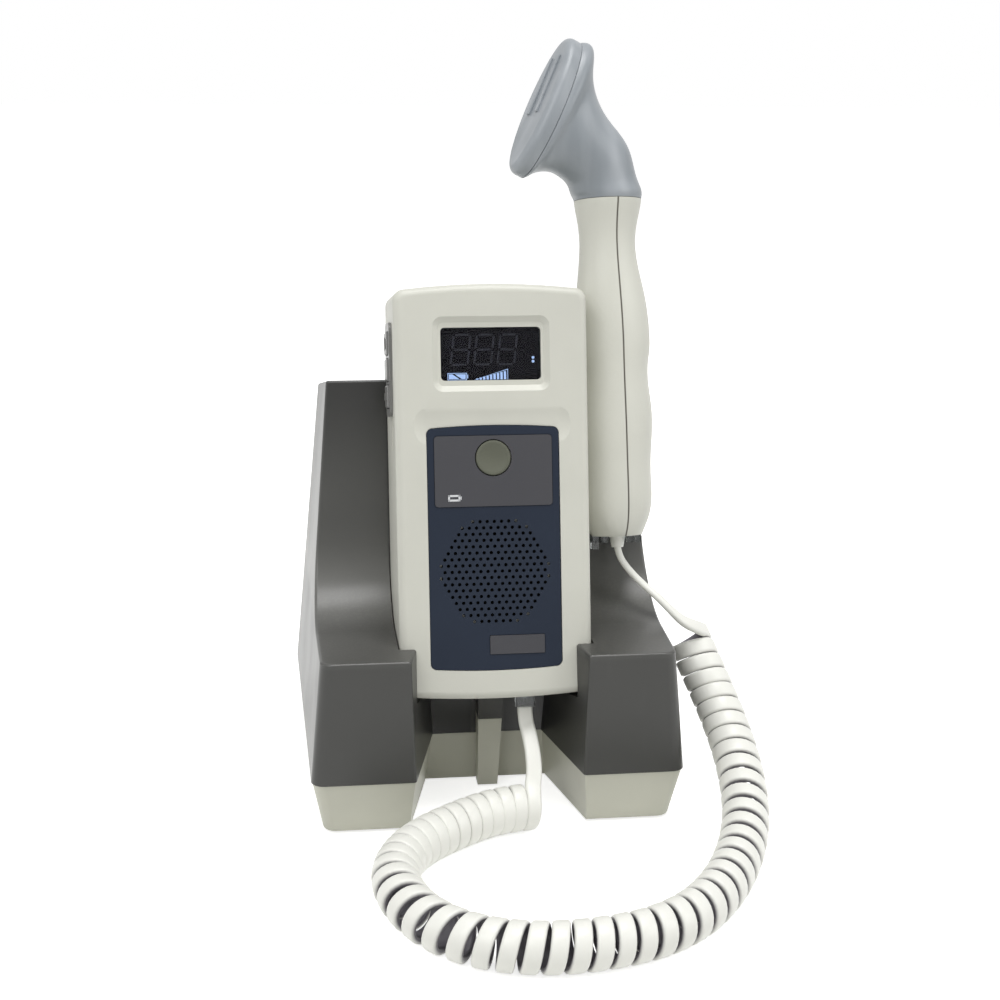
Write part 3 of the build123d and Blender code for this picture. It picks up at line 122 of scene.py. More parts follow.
def fromFront(points):
    return [Vector((x * mm, y * mm + standFront, z * mm)) for x, y, z in points]


def splineLine(points, resolution):
    curve = bpy.data.curves.new("line", "CURVE")
    curve.dimensions = "3D"
    curve.resolution_u = resolution
    spline = curve.splines.new("NURBS")
    spline.points.add(len(points) - 1)
    for knot, place in zip(spline.points, points):
        knot.co = (*place, 1)
    spline.order_u = 3
    spline.use_endpoint_u = True
    obj = bpy.data.objects.new("line", curve)
    scene.collection.objects.link(obj)
    mesh = bpy.data.meshes.new_from_object(obj)
    line = [v.co.copy() for v in mesh.vertices]
    bpy.data.objects.remove(obj)
    bpy.data.curves.remove(curve)
    bpy.data.meshes.remove(mesh)
    return line


def travelled(line):
    run = [0.0]
    for a, b in zip(line, line[1:]):
        run.append(run[-1] + (b - a).length)
    return run


def placeAt(line, run, distance):
    distance = min(max(distance, 0.0), run[-1])
    low, high = 0, len(run) - 1
    while high - low > 1:
        middle = (low + high) // 2
        if run[middle] <= distance:
            low = middle
        else:
            high = middle
    share = (distance - run[low]) / (run[high] - run[low])
    return line[low].lerp(line[high], share)


def headingAt(line, run, distance):
    reach = cordStyle["headingReach"] * mm
    return (placeAt(line, run, distance + reach) - placeAt(line, run, distance - reach)).normalized()


def turnsAt(distance):  # turns wound up to a distance in mm, from the pitches
    turns = 0.0
    for (s0, p0), (s1, p1) in zip(curlPitches, curlPitches[1:]):
        reach = min(max(distance - s0, 0.0), s1 - s0)
        endPitch = p0 + (p1 - p0) * reach / (s1 - s0)
        turns += reach * 2 / (p0 + endPitch)
    return turns


def pitchAt(distance):
    for (s0, p0), (s1, p1) in zip(curlPitches, curlPitches[1:]):
        if distance <= s1:
            return p0 + (p1 - p0) * (distance - s0) / (s1 - s0)
    return curlPitches[-1][1]


def curlLine():
    line = splineLine(fromFront(curlPoints), resolution=40)
    run = travelled(line)
    routeEnd = curlPitches[-1][0]
    allTurns = turnsAt(routeEnd)
    turning = 2 * pi * cordStyle["curlCount"] + radians(cordStyle["startAngle"] - cordStyle["leaveAngle"])
    radius = (cordStyle["curlAcross"] - cordStyle["thickness"]) / 2 * mm
    spans = cordStyle["stations"]
    stations = [run[-1] * i / spans for i in range(spans + 1)]
    angles = [turning * turnsAt(s / run[-1] * routeEnd) / allTurns for s in stations]
    steps = cordStyle["curlCount"] * cordStyle["stepsPerTurn"]
    route, outwards, widths = [], [], []
    i = 0
    for k in range(steps + 1):
        turned = turning * k / steps
        while i < spans - 1 and angles[i + 1] < turned:
            i += 1
        share = (turned - angles[i]) / max(angles[i + 1] - angles[i], 1e-9)
        s = stations[i] + (stations[i + 1] - stations[i]) * min(share, 1.0)
        along = headingAt(line, run, s)
        side = Vector((0, 0, 1)).cross(along).normalized()
        up = along.cross(side).normalized()
        angle = radians(cordStyle["startAngle"]) - turned
        outward = side * cos(angle) + up * sin(angle)
        route.append(placeAt(line, run, s) + outward * radius)
        outwards.append(outward)
        widths.append(min(cordStyle["width"], cordStyle["widthShare"] * pitchAt(s / mm)))
    return route, outwards, widths


def flatSection(width):
    w, t, c = width / 2 * mm, cordStyle["thickness"] / 2 * mm, cordStyle["corner"] * mm
    corners = [(w - c, t - c, 0), (c - w, t - c, 90), (c - w, c - t, 180), (w - c, c - t, 270)]
    return [
        (x + c * cos(radians(turn + step)), y + c * sin(radians(turn + step)))
        for x, y, turn in corners for step in (0, 30, 60, 90)
    ]


def paintedShadeShare(y):  # painted shade: 1 on the inward side, fading over the rounded edges
    if y < 0:
        return 1.0
    return cordStyle["edgeShade"] * max(0.0, 1 - y / (cordStyle["edgeFade"] * mm))


def flatTube(name, path, outwards, widths):  # rounded flat section, its thickness along outwards
    mesh = bmesh.new()
    paintedCurlShade = mesh.verts.layers.float.new("paintedCurlShade")
    rings = []
    last = len(path) - 1
    for i, place in enumerate(path):
        along = (path[min(i + 1, last)] - path[max(i - 1, 0)]).normalized()
        out = (outwards[i] - along * outwards[i].dot(along)).normalized()
        across = along.cross(out)
        ring = []
        for x, y in flatSection(widths[i]):
            vert = mesh.verts.new(place + across * x + out * y)
            # painted shade on the curls' inward side and rounded edges
            vert[paintedCurlShade] = paintedShadeShare(y) if name == "cordCurls" else 0.0
            ring.append(vert)
        rings.append(ring)
    size = len(rings[0])
    for low, high in zip(rings, rings[1:]):
        for i in range(size):
            mesh.faces.new((low[i], low[(i + 1) % size], high[(i + 1) % size], high[i]))
    for end in (list(reversed(rings[0])), rings[-1]):
        for edge in mesh.faces.new(end).edges:
            edge.smooth = False
    bmesh.ops.recalc_face_normals(mesh, faces=mesh.faces)
    return meshObject(name, mesh)


def meshObject(name, mesh, smooth=True):
    data = bpy.data.meshes.new(name)
    for face in mesh.faces:
        face.smooth = smooth
    mesh.to_mesh(data)
    mesh.free()
    obj = bpy.data.objects.new(name, data)
    scene.collection.objects.link(obj)
    return obj


def lengthOf(path):
    return sum((b - a).length for a, b in zip(path, path[1:]))


def turnedBetween(path, first, last):  # outward directions that swing evenly from first to last
    run = travelled(path)
    return [first.lerp(last, r / run[-1]) for r in run]


def evenWidths(path, first, last):
    return [first + (last - first) * r / lengthOf(path) for r in travelled(path)]


curlPath, curlOut, curlWidths = curlLine()
startWay = (curlPath[1] - curlPath[0]).normalized()
endWay = (curlPath[-1] - curlPath[-2]).normalized()
tail = cordStyle["tail"] * mm
curlPath = [curlPath[0] - startWay * tail] + curlPath + [curlPath[-1] + endWay * tail]
curlOut = [curlOut[0]] + curlOut + [curlOut[-1]]
curlWidths = [cordStyle["width"]] + curlWidths + [cordStyle["width"]]

unitPoints = fromFront([
    (12.4, 23.55, 42.73), (12.4, 22.2, 37.8), (13.4, 15.5, 33.4), (14.0, 9.0, 27.5), (13.8, 4.4, 22.0),
])
unitEase = startWay * cordStyle["unitEase"] * mm
unitPath = splineLine(unitPoints + [curlPath[0] - unitEase, curlPath[0]], resolution=16)
probePoints = fromFront([
    (78.9, 37.6, 71.2), (74.2, 38.9, 75.6), (69.3, 42.6, 80.2), (63.2, 48.0, 84.6),
    (57.4, 51.6, 90.6), (54.6, 53.2, 95.2), (54.1, 54.21, 98.27),
])
probeEase = endWay * cordStyle["probeEase"] * mm
probePath = splineLine([curlPath[-1], curlPath[-1] + probeEase] + probePoints, resolution=16)

unitTurn = turnedBetween(unitPath, Vector((0, -1, 0)), curlOut[0])
unitWidths = evenWidths(unitPath, cordStyle["plugWidth"], cordStyle["width"])
probeTurn = turnedBetween(probePath, curlOut[-1], Vector((0.75, 0.1, 0.6)))
probeWidths = evenWidths(probePath, cordStyle["width"], cordStyle["reliefWidth"])
cordCurls = flatTube("cordCurls", curlPath, curlOut, curlWidths)
unitCord = flatTube("unitCord", unitPath, unitTurn, unitWidths)
probeCord = flatTube("probeCord", probePath, probeTurn, probeWidths)

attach(cordCurls, "stand")
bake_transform(unitCord)
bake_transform(probeCord)
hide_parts("cord_curls")
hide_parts("unit_lead")
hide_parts("probe_lead")
print("cord lengths, m:", [round(lengthOf(p), 4) for p in (unitPath, curlPath, probePath)])


# Shader groups

def paint(r, g, b):  # 0-255 as a picture shows it, to the values that Blender keeps
    def linear(c):
        c /= 255
        return c / 12.92 if c <= 0.04045 else ((c + 0.055) / 1.055) ** 2.4
    return (linear(r), linear(g), linear(b), 1)


def newGroup(name, inputs, outputs):
    group = bpy.data.node_groups.new(name, "ShaderNodeTree")
    for socket, kind, value in inputs:
        made = group.interface.new_socket(name=socket, in_out="INPUT", socket_type=kind)
        made.default_value = value
    for socket, kind in outputs:
        group.interface.new_socket(name=socket, in_out="OUTPUT", socket_type=kind)
    return group, group.nodes.new("NodeGroupInput"), group.nodes.new("NodeGroupOutput")


def noiseNode(tree, scale, detail, roughness=0.5):
    node = tree.nodes.new("ShaderNodeTexNoise")
    node.inputs["Scale"].default_value = scale
    node.inputs["Detail"].default_value = detail
    node.inputs["Roughness"].default_value = roughness
    return node


def mathNode(tree, operation, first=None, second=None, clamp=False):
    node = tree.nodes.new("ShaderNodeMath")
    node.operation = operation
    node.use_clamp = clamp
    for socket, value in zip(node.inputs, (first, second)):
        if isinstance(value, (int, float)):
            socket.default_value = value
        elif value is not None:
            tree.links.new(value, socket)
    return node.outputs[0]


def rangeNode(tree, value, fromMin, fromMax, toMin, toMax):
    node = tree.nodes.new("ShaderNodeMapRange")
    tree.links.new(value, node.inputs["Value"])
    ends = {"From Min": fromMin, "From Max": fromMax, "To Min": toMin, "To Max": toMax}
    for socket, number in ends.items():
        node.inputs[socket].default_value = number
    return node.outputs["Result"]


def buildGrain():  # fine moulded grain with slow tone changes
    group, given, out = newGroup(
        "mouldedGrain",
        [("Fineness", "NodeSocketFloat", 1800.0), ("Cloud Scale", "NodeSocketFloat", 22.0)],
        [("Height", "NodeSocketFloat"), ("Tone", "NodeSocketFloat")],
    )
    place = group.nodes.new("ShaderNodeTexCoord")
    fine = noiseNode(group, 1.0, 3.0, 0.6)
    pits = group.nodes.new("ShaderNodeTexVoronoi")
    cloud = noiseNode(group, 1.0, 4.0, 0.55)
    for node in (fine, pits, cloud):
        group.links.new(place.outputs["Object"], node.inputs["Vector"])
    group.links.new(given.outputs["Fineness"], fine.inputs["Scale"])
    group.links.new(given.outputs["Fineness"], pits.inputs["Scale"])
    group.links.new(given.outputs["Cloud Scale"], cloud.inputs["Scale"])
    shallow = mathNode(group, "MULTIPLY", pits.outputs["Distance"], 0.35)
    group.links.new(mathNode(group, "ADD", fine.outputs["Fac"], shallow), out.inputs["Height"])
    group.links.new(rangeNode(group, cloud.outputs["Fac"], 0.3, 0.7, 0.0, 1.0), out.inputs["Tone"])
    return group


def buildHandling():  # smudges, short scuffs and dust that settles on upward faces
    group, given, out = newGroup(
        "handling",
        [("Smudge Scale", "NodeSocketFloat", 30.0), ("Scuff Scale", "NodeSocketFloat", 90.0)],
        [("Smudge", "NodeSocketFloat"), ("Scuff", "NodeSocketFloat"), ("Dust", "NodeSocketFloat")],
    )
    place = group.nodes.new("ShaderNodeTexCoord")
    smudge = noiseNode(group, 1.0, 5.0, 0.6)
    stretch = group.nodes.new("ShaderNodeMapping")
    stretch.inputs["Scale"].default_value = (1.0, 0.22, 0.22)
    stretch.inputs["Rotation"].default_value = (0.3, 0.5, 0.8)
    scuff = noiseNode(group, 1.0, 2.0, 0.7)
    speck = noiseNode(group, 900.0, 1.0)
    group.links.new(place.outputs["Object"], smudge.inputs["Vector"])
    group.links.new(place.outputs["Object"], stretch.inputs["Vector"])
    group.links.new(place.outputs["Object"], speck.inputs["Vector"])
    group.links.new(stretch.outputs["Vector"], scuff.inputs["Vector"])
    group.links.new(given.outputs["Smudge Scale"], smudge.inputs["Scale"])
    group.links.new(given.outputs["Scuff Scale"], scuff.inputs["Scale"])
    group.links.new(rangeNode(group, smudge.outputs["Fac"], 0.42, 0.68, 0.0, 1.0), out.inputs["Smudge"])
    group.links.new(rangeNode(group, scuff.outputs["Fac"], 0.66, 0.72, 0.0, 1.0), out.inputs["Scuff"])
    facing = group.nodes.new("ShaderNodeNewGeometry")
    split = group.nodes.new("ShaderNodeSeparateXYZ")
    group.links.new(facing.outputs["Normal"], split.inputs["Vector"])
    upward = rangeNode(group, split.outputs["Z"], 0.55, 1.0, 0.0, 1.0)
    specks = rangeNode(group, speck.outputs["Fac"], 0.5, 0.62, 0.15, 1.0)
    group.links.new(mathNode(group, "MULTIPLY", upward, specks), out.inputs["Dust"])
    return group


def buildBrushing():  # fine lines along one axis, for bare metal
    group, given, out = newGroup(
        "brushing",
        [("Line Scale", "NodeSocketFloat", 600.0)],
        [("Height", "NodeSocketFloat"), ("Tone", "NodeSocketFloat")],
    )
    place = group.nodes.new("ShaderNodeTexCoord")
    stretch = group.nodes.new("ShaderNodeMapping")
    stretch.inputs["Scale"].default_value = (0.08, 1.0, 1.0)
    lines = noiseNode(group, 1.0, 3.0, 0.7)
    group.links.new(place.outputs["Object"], stretch.inputs["Vector"])
    group.links.new(stretch.outputs["Vector"], lines.inputs["Vector"])
    group.links.new(given.outputs["Line Scale"], lines.inputs["Scale"])
    group.links.new(lines.outputs["Fac"], out.inputs["Height"])
    group.links.new(rangeNode(group, lines.outputs["Fac"], 0.3, 0.7, 0.0, 1.0), out.inputs["Tone"])
    return group


grainGroup = buildGrain()
handlingGroup = buildHandling()
brushingGroup = buildBrushing()
print("shader groups built")


# Materials

def groupNode(tree, group, **values):
    node = tree.nodes.new("ShaderNodeGroup")
    node.node_tree = group
    for name, value in values.items():
        node.inputs[name.replace("_", " ")].default_value = value
    return node


def blendColour(tree, factor, first, second):
    node = tree.nodes.new("ShaderNodeMix")
    node.data_type = "RGBA"
    for socket, value in ((node.inputs[0], factor), (node.inputs[6], first), (node.inputs[7], second)):
        if isinstance(value, (float, tuple)):
            socket.default_value = value
        else:
            tree.links.new(value, socket)
    return node.outputs[2]


def scaled(colour, by):
    return (colour[0] * by, colour[1] * by, colour[2] * by, 1)


def newMaterial(name):
    material = bpy.data.materials.new(name)
    material.use_nodes = True
    return material, material.node_tree, material.node_tree.nodes["Principled BSDF"]


def bumpInto(tree, shader, height, strength, distance):
    bump = tree.nodes.new("ShaderNodeBump")
    bump.inputs["Strength"].default_value = strength
    bump.inputs["Distance"].default_value = distance
    tree.links.new(height, bump.inputs["Height"])
    tree.links.new(bump.outputs["Normal"], shader.inputs["Normal"])


plasticFinish = {
    "grainDepth": 0.2,         # mm
    "coatRoughness": 0.12,
    "dust": paint(190, 186, 176),
    "scuffLift": 1.8,          # how much paler a scuff is than the plastic
}


def moulded(name, colour, roughness, grain=0.12, variation=0.04, smudge=0.06, dust=0.05, fineness=1800.0,
            scuff=0.0, coat=0.0, specular=0.5):
    material, tree, shader = newMaterial(name)
    grainBox = groupNode(tree, grainGroup, Fineness=fineness)
    handled = groupNode(tree, handlingGroup)
    darker, paler = scaled(colour, 1 - variation), scaled(colour, 1 + variation)
    tone = blendColour(tree, grainBox.outputs["Tone"], darker, paler)
    dusty = mathNode(tree, "MULTIPLY", handled.outputs["Dust"], dust)
    dustyTone = blendColour(tree, dusty, tone, plasticFinish["dust"])
    marks = mathNode(tree, "MULTIPLY", handled.outputs["Scuff"], scuff)
    marked = blendColour(tree, marks, dustyTone, scaled(colour, plasticFinish["scuffLift"]))
    tree.links.new(marked, shader.inputs["Base Color"])
    tree.links.new(rangeNode(tree, handled.outputs["Smudge"], 0, 1, roughness, roughness + smudge),
                   shader.inputs["Roughness"])
    bumpInto(tree, shader, grainBox.outputs["Height"], grain, plasticFinish["grainDepth"] * mm)
    shader.inputs["Coat Weight"].default_value = coat
    shader.inputs["Coat Roughness"].default_value = plasticFinish["coatRoughness"]
    shader.inputs["Specular IOR Level"].default_value = specular
    return material


def metal(name, colour, roughness, lineScale=600.0):
    material, tree, shader = newMaterial(name)
    brushed = groupNode(tree, brushingGroup, Line_Scale=lineScale)
    handled = groupNode(tree, handlingGroup)
    tone = blendColour(tree, brushed.outputs["Tone"], scaled(colour, 0.85), scaled(colour, 1.05))
    marked = blendColour(tree, handled.outputs["Scuff"], tone, scaled(colour, 0.6))
    tree.links.new(marked, shader.inputs["Base Color"])
    tree.links.new(rangeNode(tree, handled.outputs["Smudge"], 0, 1, roughness, roughness + 0.15),
                   shader.inputs["Roughness"])
    bumpInto(tree, shader, brushed.outputs["Height"], 0.15, 0.00005)
    shader.inputs["Metallic"].default_value = 1.0
    return material


def clearPlastic(name, colour, roughness, smudge=0.08, ior=1.49):
    material, tree, shader = newMaterial(name)
    handled = groupNode(tree, handlingGroup)
    tone = groupNode(tree, grainGroup, Fineness=700.0)
    tinted = blendColour(tree, tone.outputs["Tone"], scaled(colour, 0.97), colour)
    tree.links.new(tinted, shader.inputs["Base Color"])
    tree.links.new(rangeNode(tree, handled.outputs["Smudge"], 0, 1, roughness, roughness + smudge),
                   shader.inputs["Roughness"])
    bumpInto(tree, shader, tone.outputs["Height"], 0.02, 0.0001)
    shader.inputs["Transmission Weight"].default_value = 1.0
    shader.inputs["IOR"].default_value = ior
    return material


def lit(name, colour, strength=1.0):
    material, tree, shader = newMaterial(name)
    grain = groupNode(tree, grainGroup, Fineness=2500.0, Cloud_Scale=300.0)
    glow = blendColour(tree, grain.outputs["Tone"], scaled(colour, 0.9), colour)
    tree.links.new(glow, shader.inputs["Emission Color"])
    tree.links.new(glow, shader.inputs["Base Color"])
    shader.inputs["Emission Strength"].default_value = strength
    shader.inputs["Roughness"].default_value = 0.4
    return material


def finished(material):  # its tree, its shader, and the socket that feeds its colour
    tree = material.node_tree
    shader = tree.nodes["Principled BSDF"]
    return tree, shader, shader.inputs["Base Color"].links[0].from_socket


def objectAxes(tree):
    place = tree.nodes.new("ShaderNodeTexCoord")
    split = tree.nodes.new("ShaderNodeSeparateXYZ")
    tree.links.new(place.outputs["Object"], split.inputs["Vector"])
    return split.outputs


coverPaintedLight = [  # height in metres, and how much painted light or shade the cover's plastic gets there
    (0.02, 0.50), (0.068, 0.52), (0.076, 1.40), (0.110, 0.76), (0.162, 0.25),
]


# painted light and shade: the cover's colour darkened or lightened by height
def paintedLightByHeight(material, steps):
    tree, shader, plain = finished(material)
    low, high = steps[0][0], steps[-1][0]
    ramp = tree.nodes.new("ShaderNodeValToRGB")
    ramp.color_ramp.interpolation = "EASE"
    while len(ramp.color_ramp.elements) < len(steps):
        ramp.color_ramp.elements.new(0.5)
    for element, (height, level) in zip(ramp.color_ramp.elements, steps):
        element.position = (height - low) / (high - low)
        element.color = (level, level, level, 1)
    tree.links.new(rangeNode(tree, objectAxes(tree)["Z"], low, high, 0.0, 1.0), ramp.inputs["Fac"])
    tint = tree.nodes.new("ShaderNodeMix")
    tint.data_type = "RGBA"
    tint.blend_type = "MULTIPLY"
    tint.inputs[0].default_value = 1.0
    tree.links.new(plain, tint.inputs[6])
    tree.links.new(ramp.outputs["Color"], tint.inputs[7])
    tree.links.new(tint.outputs[2], shader.inputs["Base Color"])
    return material


recessShade = {  # painted shade; mm in the shared frame: where the shade starts and where it is whole, or the reverse
    "post": (6.2, 7.2),
    "sides": (32.5, 33.5),
    "depth": (-64.0, -30.0),
    "back": (-23.5, -18.0),
    "top": (58.0, 66.0),
    "level": 0.7,
}


def paintedRecessShade(material):  # painted shade deep in the stand's recess, but for the post
    tree, shader, plain = finished(material)
    axes = objectAxes(tree)
    aside = mathNode(tree, "ABSOLUTE", axes["X"])
    mask = rangeNode(tree, aside, *[v * mm for v in recessShade["post"]], 0.0, recessShade["level"])
    for source, name, ends in (
        (aside, "sides", (1.0, 0.0)),
        (axes["Y"], "depth", (0.0, 1.0)),
        (axes["Y"], "back", (1.0, 0.0)),
        (axes["Z"], "top", (1.0, 0.0)),
    ):
        share = rangeNode(tree, source, *[v * mm for v in recessShade[name]], *ends)
        mask = mathNode(tree, "MULTIPLY", mask, share)
    tree.links.new(blendColour(tree, mask, plain, paint(0, 0, 0)), shader.inputs["Base Color"])
    return material


headStreaks = {
    "lean": -24.0,
    "stretch": 0.14,
    "scale": 95.0,
    "roughness": 0.45,
    "range": (0.34, 0.66),
    "colour": paint(133, 139, 144),
}


def streaked(material):  # soft moulding streaks that run along the head's tilted cap
    tree, shader, plain = finished(material)
    place = tree.nodes.new("ShaderNodeTexCoord")
    turned = tree.nodes.new("ShaderNodeMapping")
    turned.inputs["Rotation"].default_value = (0.0, radians(headStreaks["lean"]), 0.0)
    turned.inputs["Scale"].default_value = (1.0, 1.0, headStreaks["stretch"])
    streaks = noiseNode(tree, headStreaks["scale"], 2.0, headStreaks["roughness"])
    tree.links.new(place.outputs["Object"], turned.inputs["Vector"])
    tree.links.new(turned.outputs["Vector"], streaks.inputs["Vector"])
    level = rangeNode(tree, streaks.outputs["Fac"], *headStreaks["range"], 0.0, 1.0)
    tree.links.new(blendColour(tree, level, headStreaks["colour"], plain), shader.inputs["Base Color"])
    return material


seam = {  # the plane between the handle's halves: a point on it and its turns; then the dark line on it
    "point": (54.0, -14.4, 103.1),
    "across": -1.0,
    "lean": 15.0,
    "sideLean": 1.1,
    "turn": 14.7,
    "half": 0.45,
    "core": 0.6,       # share of the half that is fully dark
    "level": 0.85,
    "colour": paint(84, 78, 68),
}


def seamed(material):  # grime and shade in the handle's parting line
    tree, shader, plain = finished(material)
    leaning = Matrix.Rotation(radians(-seam["lean"]), 3, "X")
    tilted = leaning @ Matrix.Rotation(radians(-seam["sideLean"]), 3, "Y")
    normal = tilted @ Matrix.Rotation(radians(seam["turn"]), 3, "Z") @ Vector((1, 0, 0))
    offset = (Vector(seam["point"]).dot(normal) + seam["across"]) * mm
    place = tree.nodes.new("ShaderNodeTexCoord")
    depth = tree.nodes.new("ShaderNodeVectorMath")
    depth.operation = "DOT_PRODUCT"
    depth.inputs[1].default_value = normal
    tree.links.new(place.outputs["Object"], depth.inputs[0])
    apart = mathNode(tree, "ABSOLUTE", mathNode(tree, "SUBTRACT", depth.outputs["Value"], offset))
    half = seam["half"] * mm
    near = rangeNode(tree, apart, half * seam["core"], half, seam["level"], 0.0)
    tree.links.new(blendColour(tree, near, plain, seam["colour"]), shader.inputs["Base Color"])
    return material


def jacketWithPaintedShade(material, paintedShadeColour):  # the cord's plastic, with painted shade where it faces into a curl
    tree, shader, plain = finished(material)
    inside = tree.nodes.new("ShaderNodeAttribute")
    inside.attribute_name = "paintedCurlShade"
    darkened = blendColour(tree, inside.outputs["Fac"], plain, paintedShadeColour)
    tree.links.new(darkened, shader.inputs["Base Color"])
    return material


materials = {
    # the cover gets painted light and shade by height, then painted shade in the recess
    "cover": paintedRecessShade(paintedLightByHeight(
        moulded("coverPlastic", paint(84, 84, 81), 0.30, grain=0.012, variation=0.03, smudge=0.05,
                dust=0.03, fineness=900.0, scuff=0.04, specular=0.45),
        coverPaintedLight,
    )),
    "tray": moulded("trayPlastic", paint(194, 194, 180), 0.42, grain=0.08),
    "shell": moulded("shellPlastic", paint(203, 203, 193), 0.40, grain=0.10),
    "handle": seamed(moulded("handlePlastic", paint(206, 206, 196), 0.40, grain=0.10)),
    "head": streaked(moulded("headPlastic", paint(151, 156, 161), 0.34, grain=0.06, variation=0.03)),
    "panel": moulded("navyPlastic", paint(40, 47, 60), 0.36, grain=0.10, variation=0.06, scuff=0.04,
                     specular=0.14),
    "plate": moulded("plateFilm", paint(68, 68, 72), 0.38, grain=0.05, fineness=3200.0, variation=0.04,
                     specular=0.3),
    "button": moulded("buttonRubber", paint(96, 98, 86), 0.50, grain=0.16, fineness=2600.0, variation=0.06,
                      specular=0.25),
    "keys": moulded("keyRubber", paint(116, 116, 114), 0.30, grain=0.10, variation=0.10, fineness=2200.0),
    "cord": jacketWithPaintedShade(
        moulded("cordJacket", paint(235, 235, 228), 0.34, grain=0.05, variation=0.02, fineness=1500.0),
        # colour of the painted shade on the curls' inward side
        paint(124, 121, 127),
    ),
    "foot": moulded("footRubber", paint(48, 48, 47), 0.62, grain=0.2, fineness=1500.0),
    "black": moulded("blackPlastic", paint(26, 26, 28), 0.42, grain=0.08, specular=0.2),
    "module": moulded("displayGlass", paint(22, 21, 27), 0.3, grain=0.01, variation=0.05, specular=0.05),
    "board": moulded("boardGreen", paint(34, 96, 58), 0.30, grain=0.12, variation=0.15, fineness=700.0),
    "paper": moulded("conePaper", paint(52, 50, 47), 0.75, grain=0.4, fineness=2400.0, variation=0.12),
    "magnet": moulded("magnetIron", paint(92, 92, 94), 0.55, grain=0.3, fineness=1400.0, variation=0.1),
    "wrap": moulded("cellWrap", paint(44, 92, 120), 0.22, grain=0.02, variation=0.05, coat=0.4),
    "crystal": moulded("crystalCeramic", paint(196, 184, 158), 0.55, grain=0.2, variation=0.06),
    "steel": metal("screwSteel", paint(196, 197, 200), 0.28),
    "gold": metal("contactGold", paint(214, 176, 92), 0.22, lineScale=1200.0),
    "clear": clearPlastic("clearPlastic", paint(236, 240, 240), 0.06),
    "window": clearPlastic("windowPlastic", paint(206, 208, 214), 0.02, smudge=0.03, ior=1.18),
}

finishes = {
    "cover": ["stand_cover"],
    "tray": ["stand_tray"],
    "shell": ["unit_front_shell", "unit_back_shell", "battery_door"],
    "handle": ["probe_front_half", "probe_back_half"],
    "head": ["probe_head", "probe_face"],
    "panel": ["grille_panel"],
    "plate": ["label_plate", "model_plate"],
    "button": ["front_button"],
    "keys": ["key_frame", "key_top", "key_middle", "key_bottom"],
    "cord": ["strain_relief", "cord_curls", "unit_lead", "probe_lead"],
    "foot": ["stand_feet"],
    "black": ["power_inlet", "contact_block", "button_switch", "cell_tray", "key_switches", "modular_jack",
              "backing_block", "speaker_frame"],
    "module": ["display_module"],
    "board": ["charge_board", "main_board", "key_board", "probe_board"],
    "paper": ["speaker_cone"],
    "magnet": ["speaker_magnet"],
    "wrap": ["battery_cells"],
    "crystal": ["transducer_crystals"],
    "steel": ["stand_screws", "bracket_screws", "unit_screws", "probe_screws", "cell_contacts",
              "cable_clamp"],
    "gold": ["charge_pins", "charge_pads", "plug_contacts"],
    "clear": ["probe_bracket", "cord_plug"],
    "window": ["display_window"],
}


smoothRule = {
    "mergeWithin": 0.004,  # mm
    "sharpOver": 24.0,     # degrees between two faces
}


def buildSmoothing():  # joins the loose triangles and shades across shallow edges only
    tree = bpy.data.node_groups.new("smoothShading", "GeometryNodeTree")
    tree.interface.new_socket(name="Geometry", in_out="INPUT", socket_type="NodeSocketGeometry")
    tree.interface.new_socket(name="Geometry", in_out="OUTPUT", socket_type="NodeSocketGeometry")
    given, out = tree.nodes.new("NodeGroupInput"), tree.nodes.new("NodeGroupOutput")
    join = tree.nodes.new("GeometryNodeMergeByDistance")
    join.inputs["Distance"].default_value = smoothRule["mergeWithin"] * mm
    angle = tree.nodes.new("GeometryNodeInputMeshEdgeAngle")
    sharp = tree.nodes.new("FunctionNodeCompare")
    sharp.operation = "GREATER_THAN"
    sharp.inputs[1].default_value = radians(smoothRule["sharpOver"])
    mark = tree.nodes.new("GeometryNodeStoreNamedAttribute")
    mark.data_type, mark.domain = "BOOLEAN", "EDGE"
    mark.inputs["Name"].default_value = "sharp_edge"
    smooth = tree.nodes.new("GeometryNodeSetShadeSmooth")
    tree.links.new(given.outputs[0], join.inputs["Geometry"])
    tree.links.new(join.outputs["Geometry"], mark.inputs["Geometry"])
    tree.links.new(angle.outputs["Unsigned Angle"], sharp.inputs[0])
    tree.links.new(sharp.outputs[0], mark.inputs["Value"])
    tree.links.new(mark.outputs["Geometry"], smooth.inputs["Geometry"])
    tree.links.new(smooth.outputs["Geometry"], out.inputs[0])
    return tree


smoothing = buildSmoothing()
for finish, names in finishes.items():
    for name in names:
        obj = nodes[name]
        obj.data.materials.clear()
        obj.data.materials.append(materials[finish])
        shade = obj.modifiers.new("smoothShading", "NODES")
        shade.node_group = smoothing
        weigh = obj.modifiers.new("weighted", "WEIGHTED_NORMAL")
        weigh.keep_sharp = True
missing = set(nodes) - {n for names in finishes.values() for n in names}
print("materials on", sum(len(n) for n in finishes.values()), "nodes; without:", sorted(missing))
for piece in (cordCurls, unitCord, probeCord):
    piece.data.materials.append(materials["cord"])


# Marks on the display and the label plate, in the unit's own leaning frame

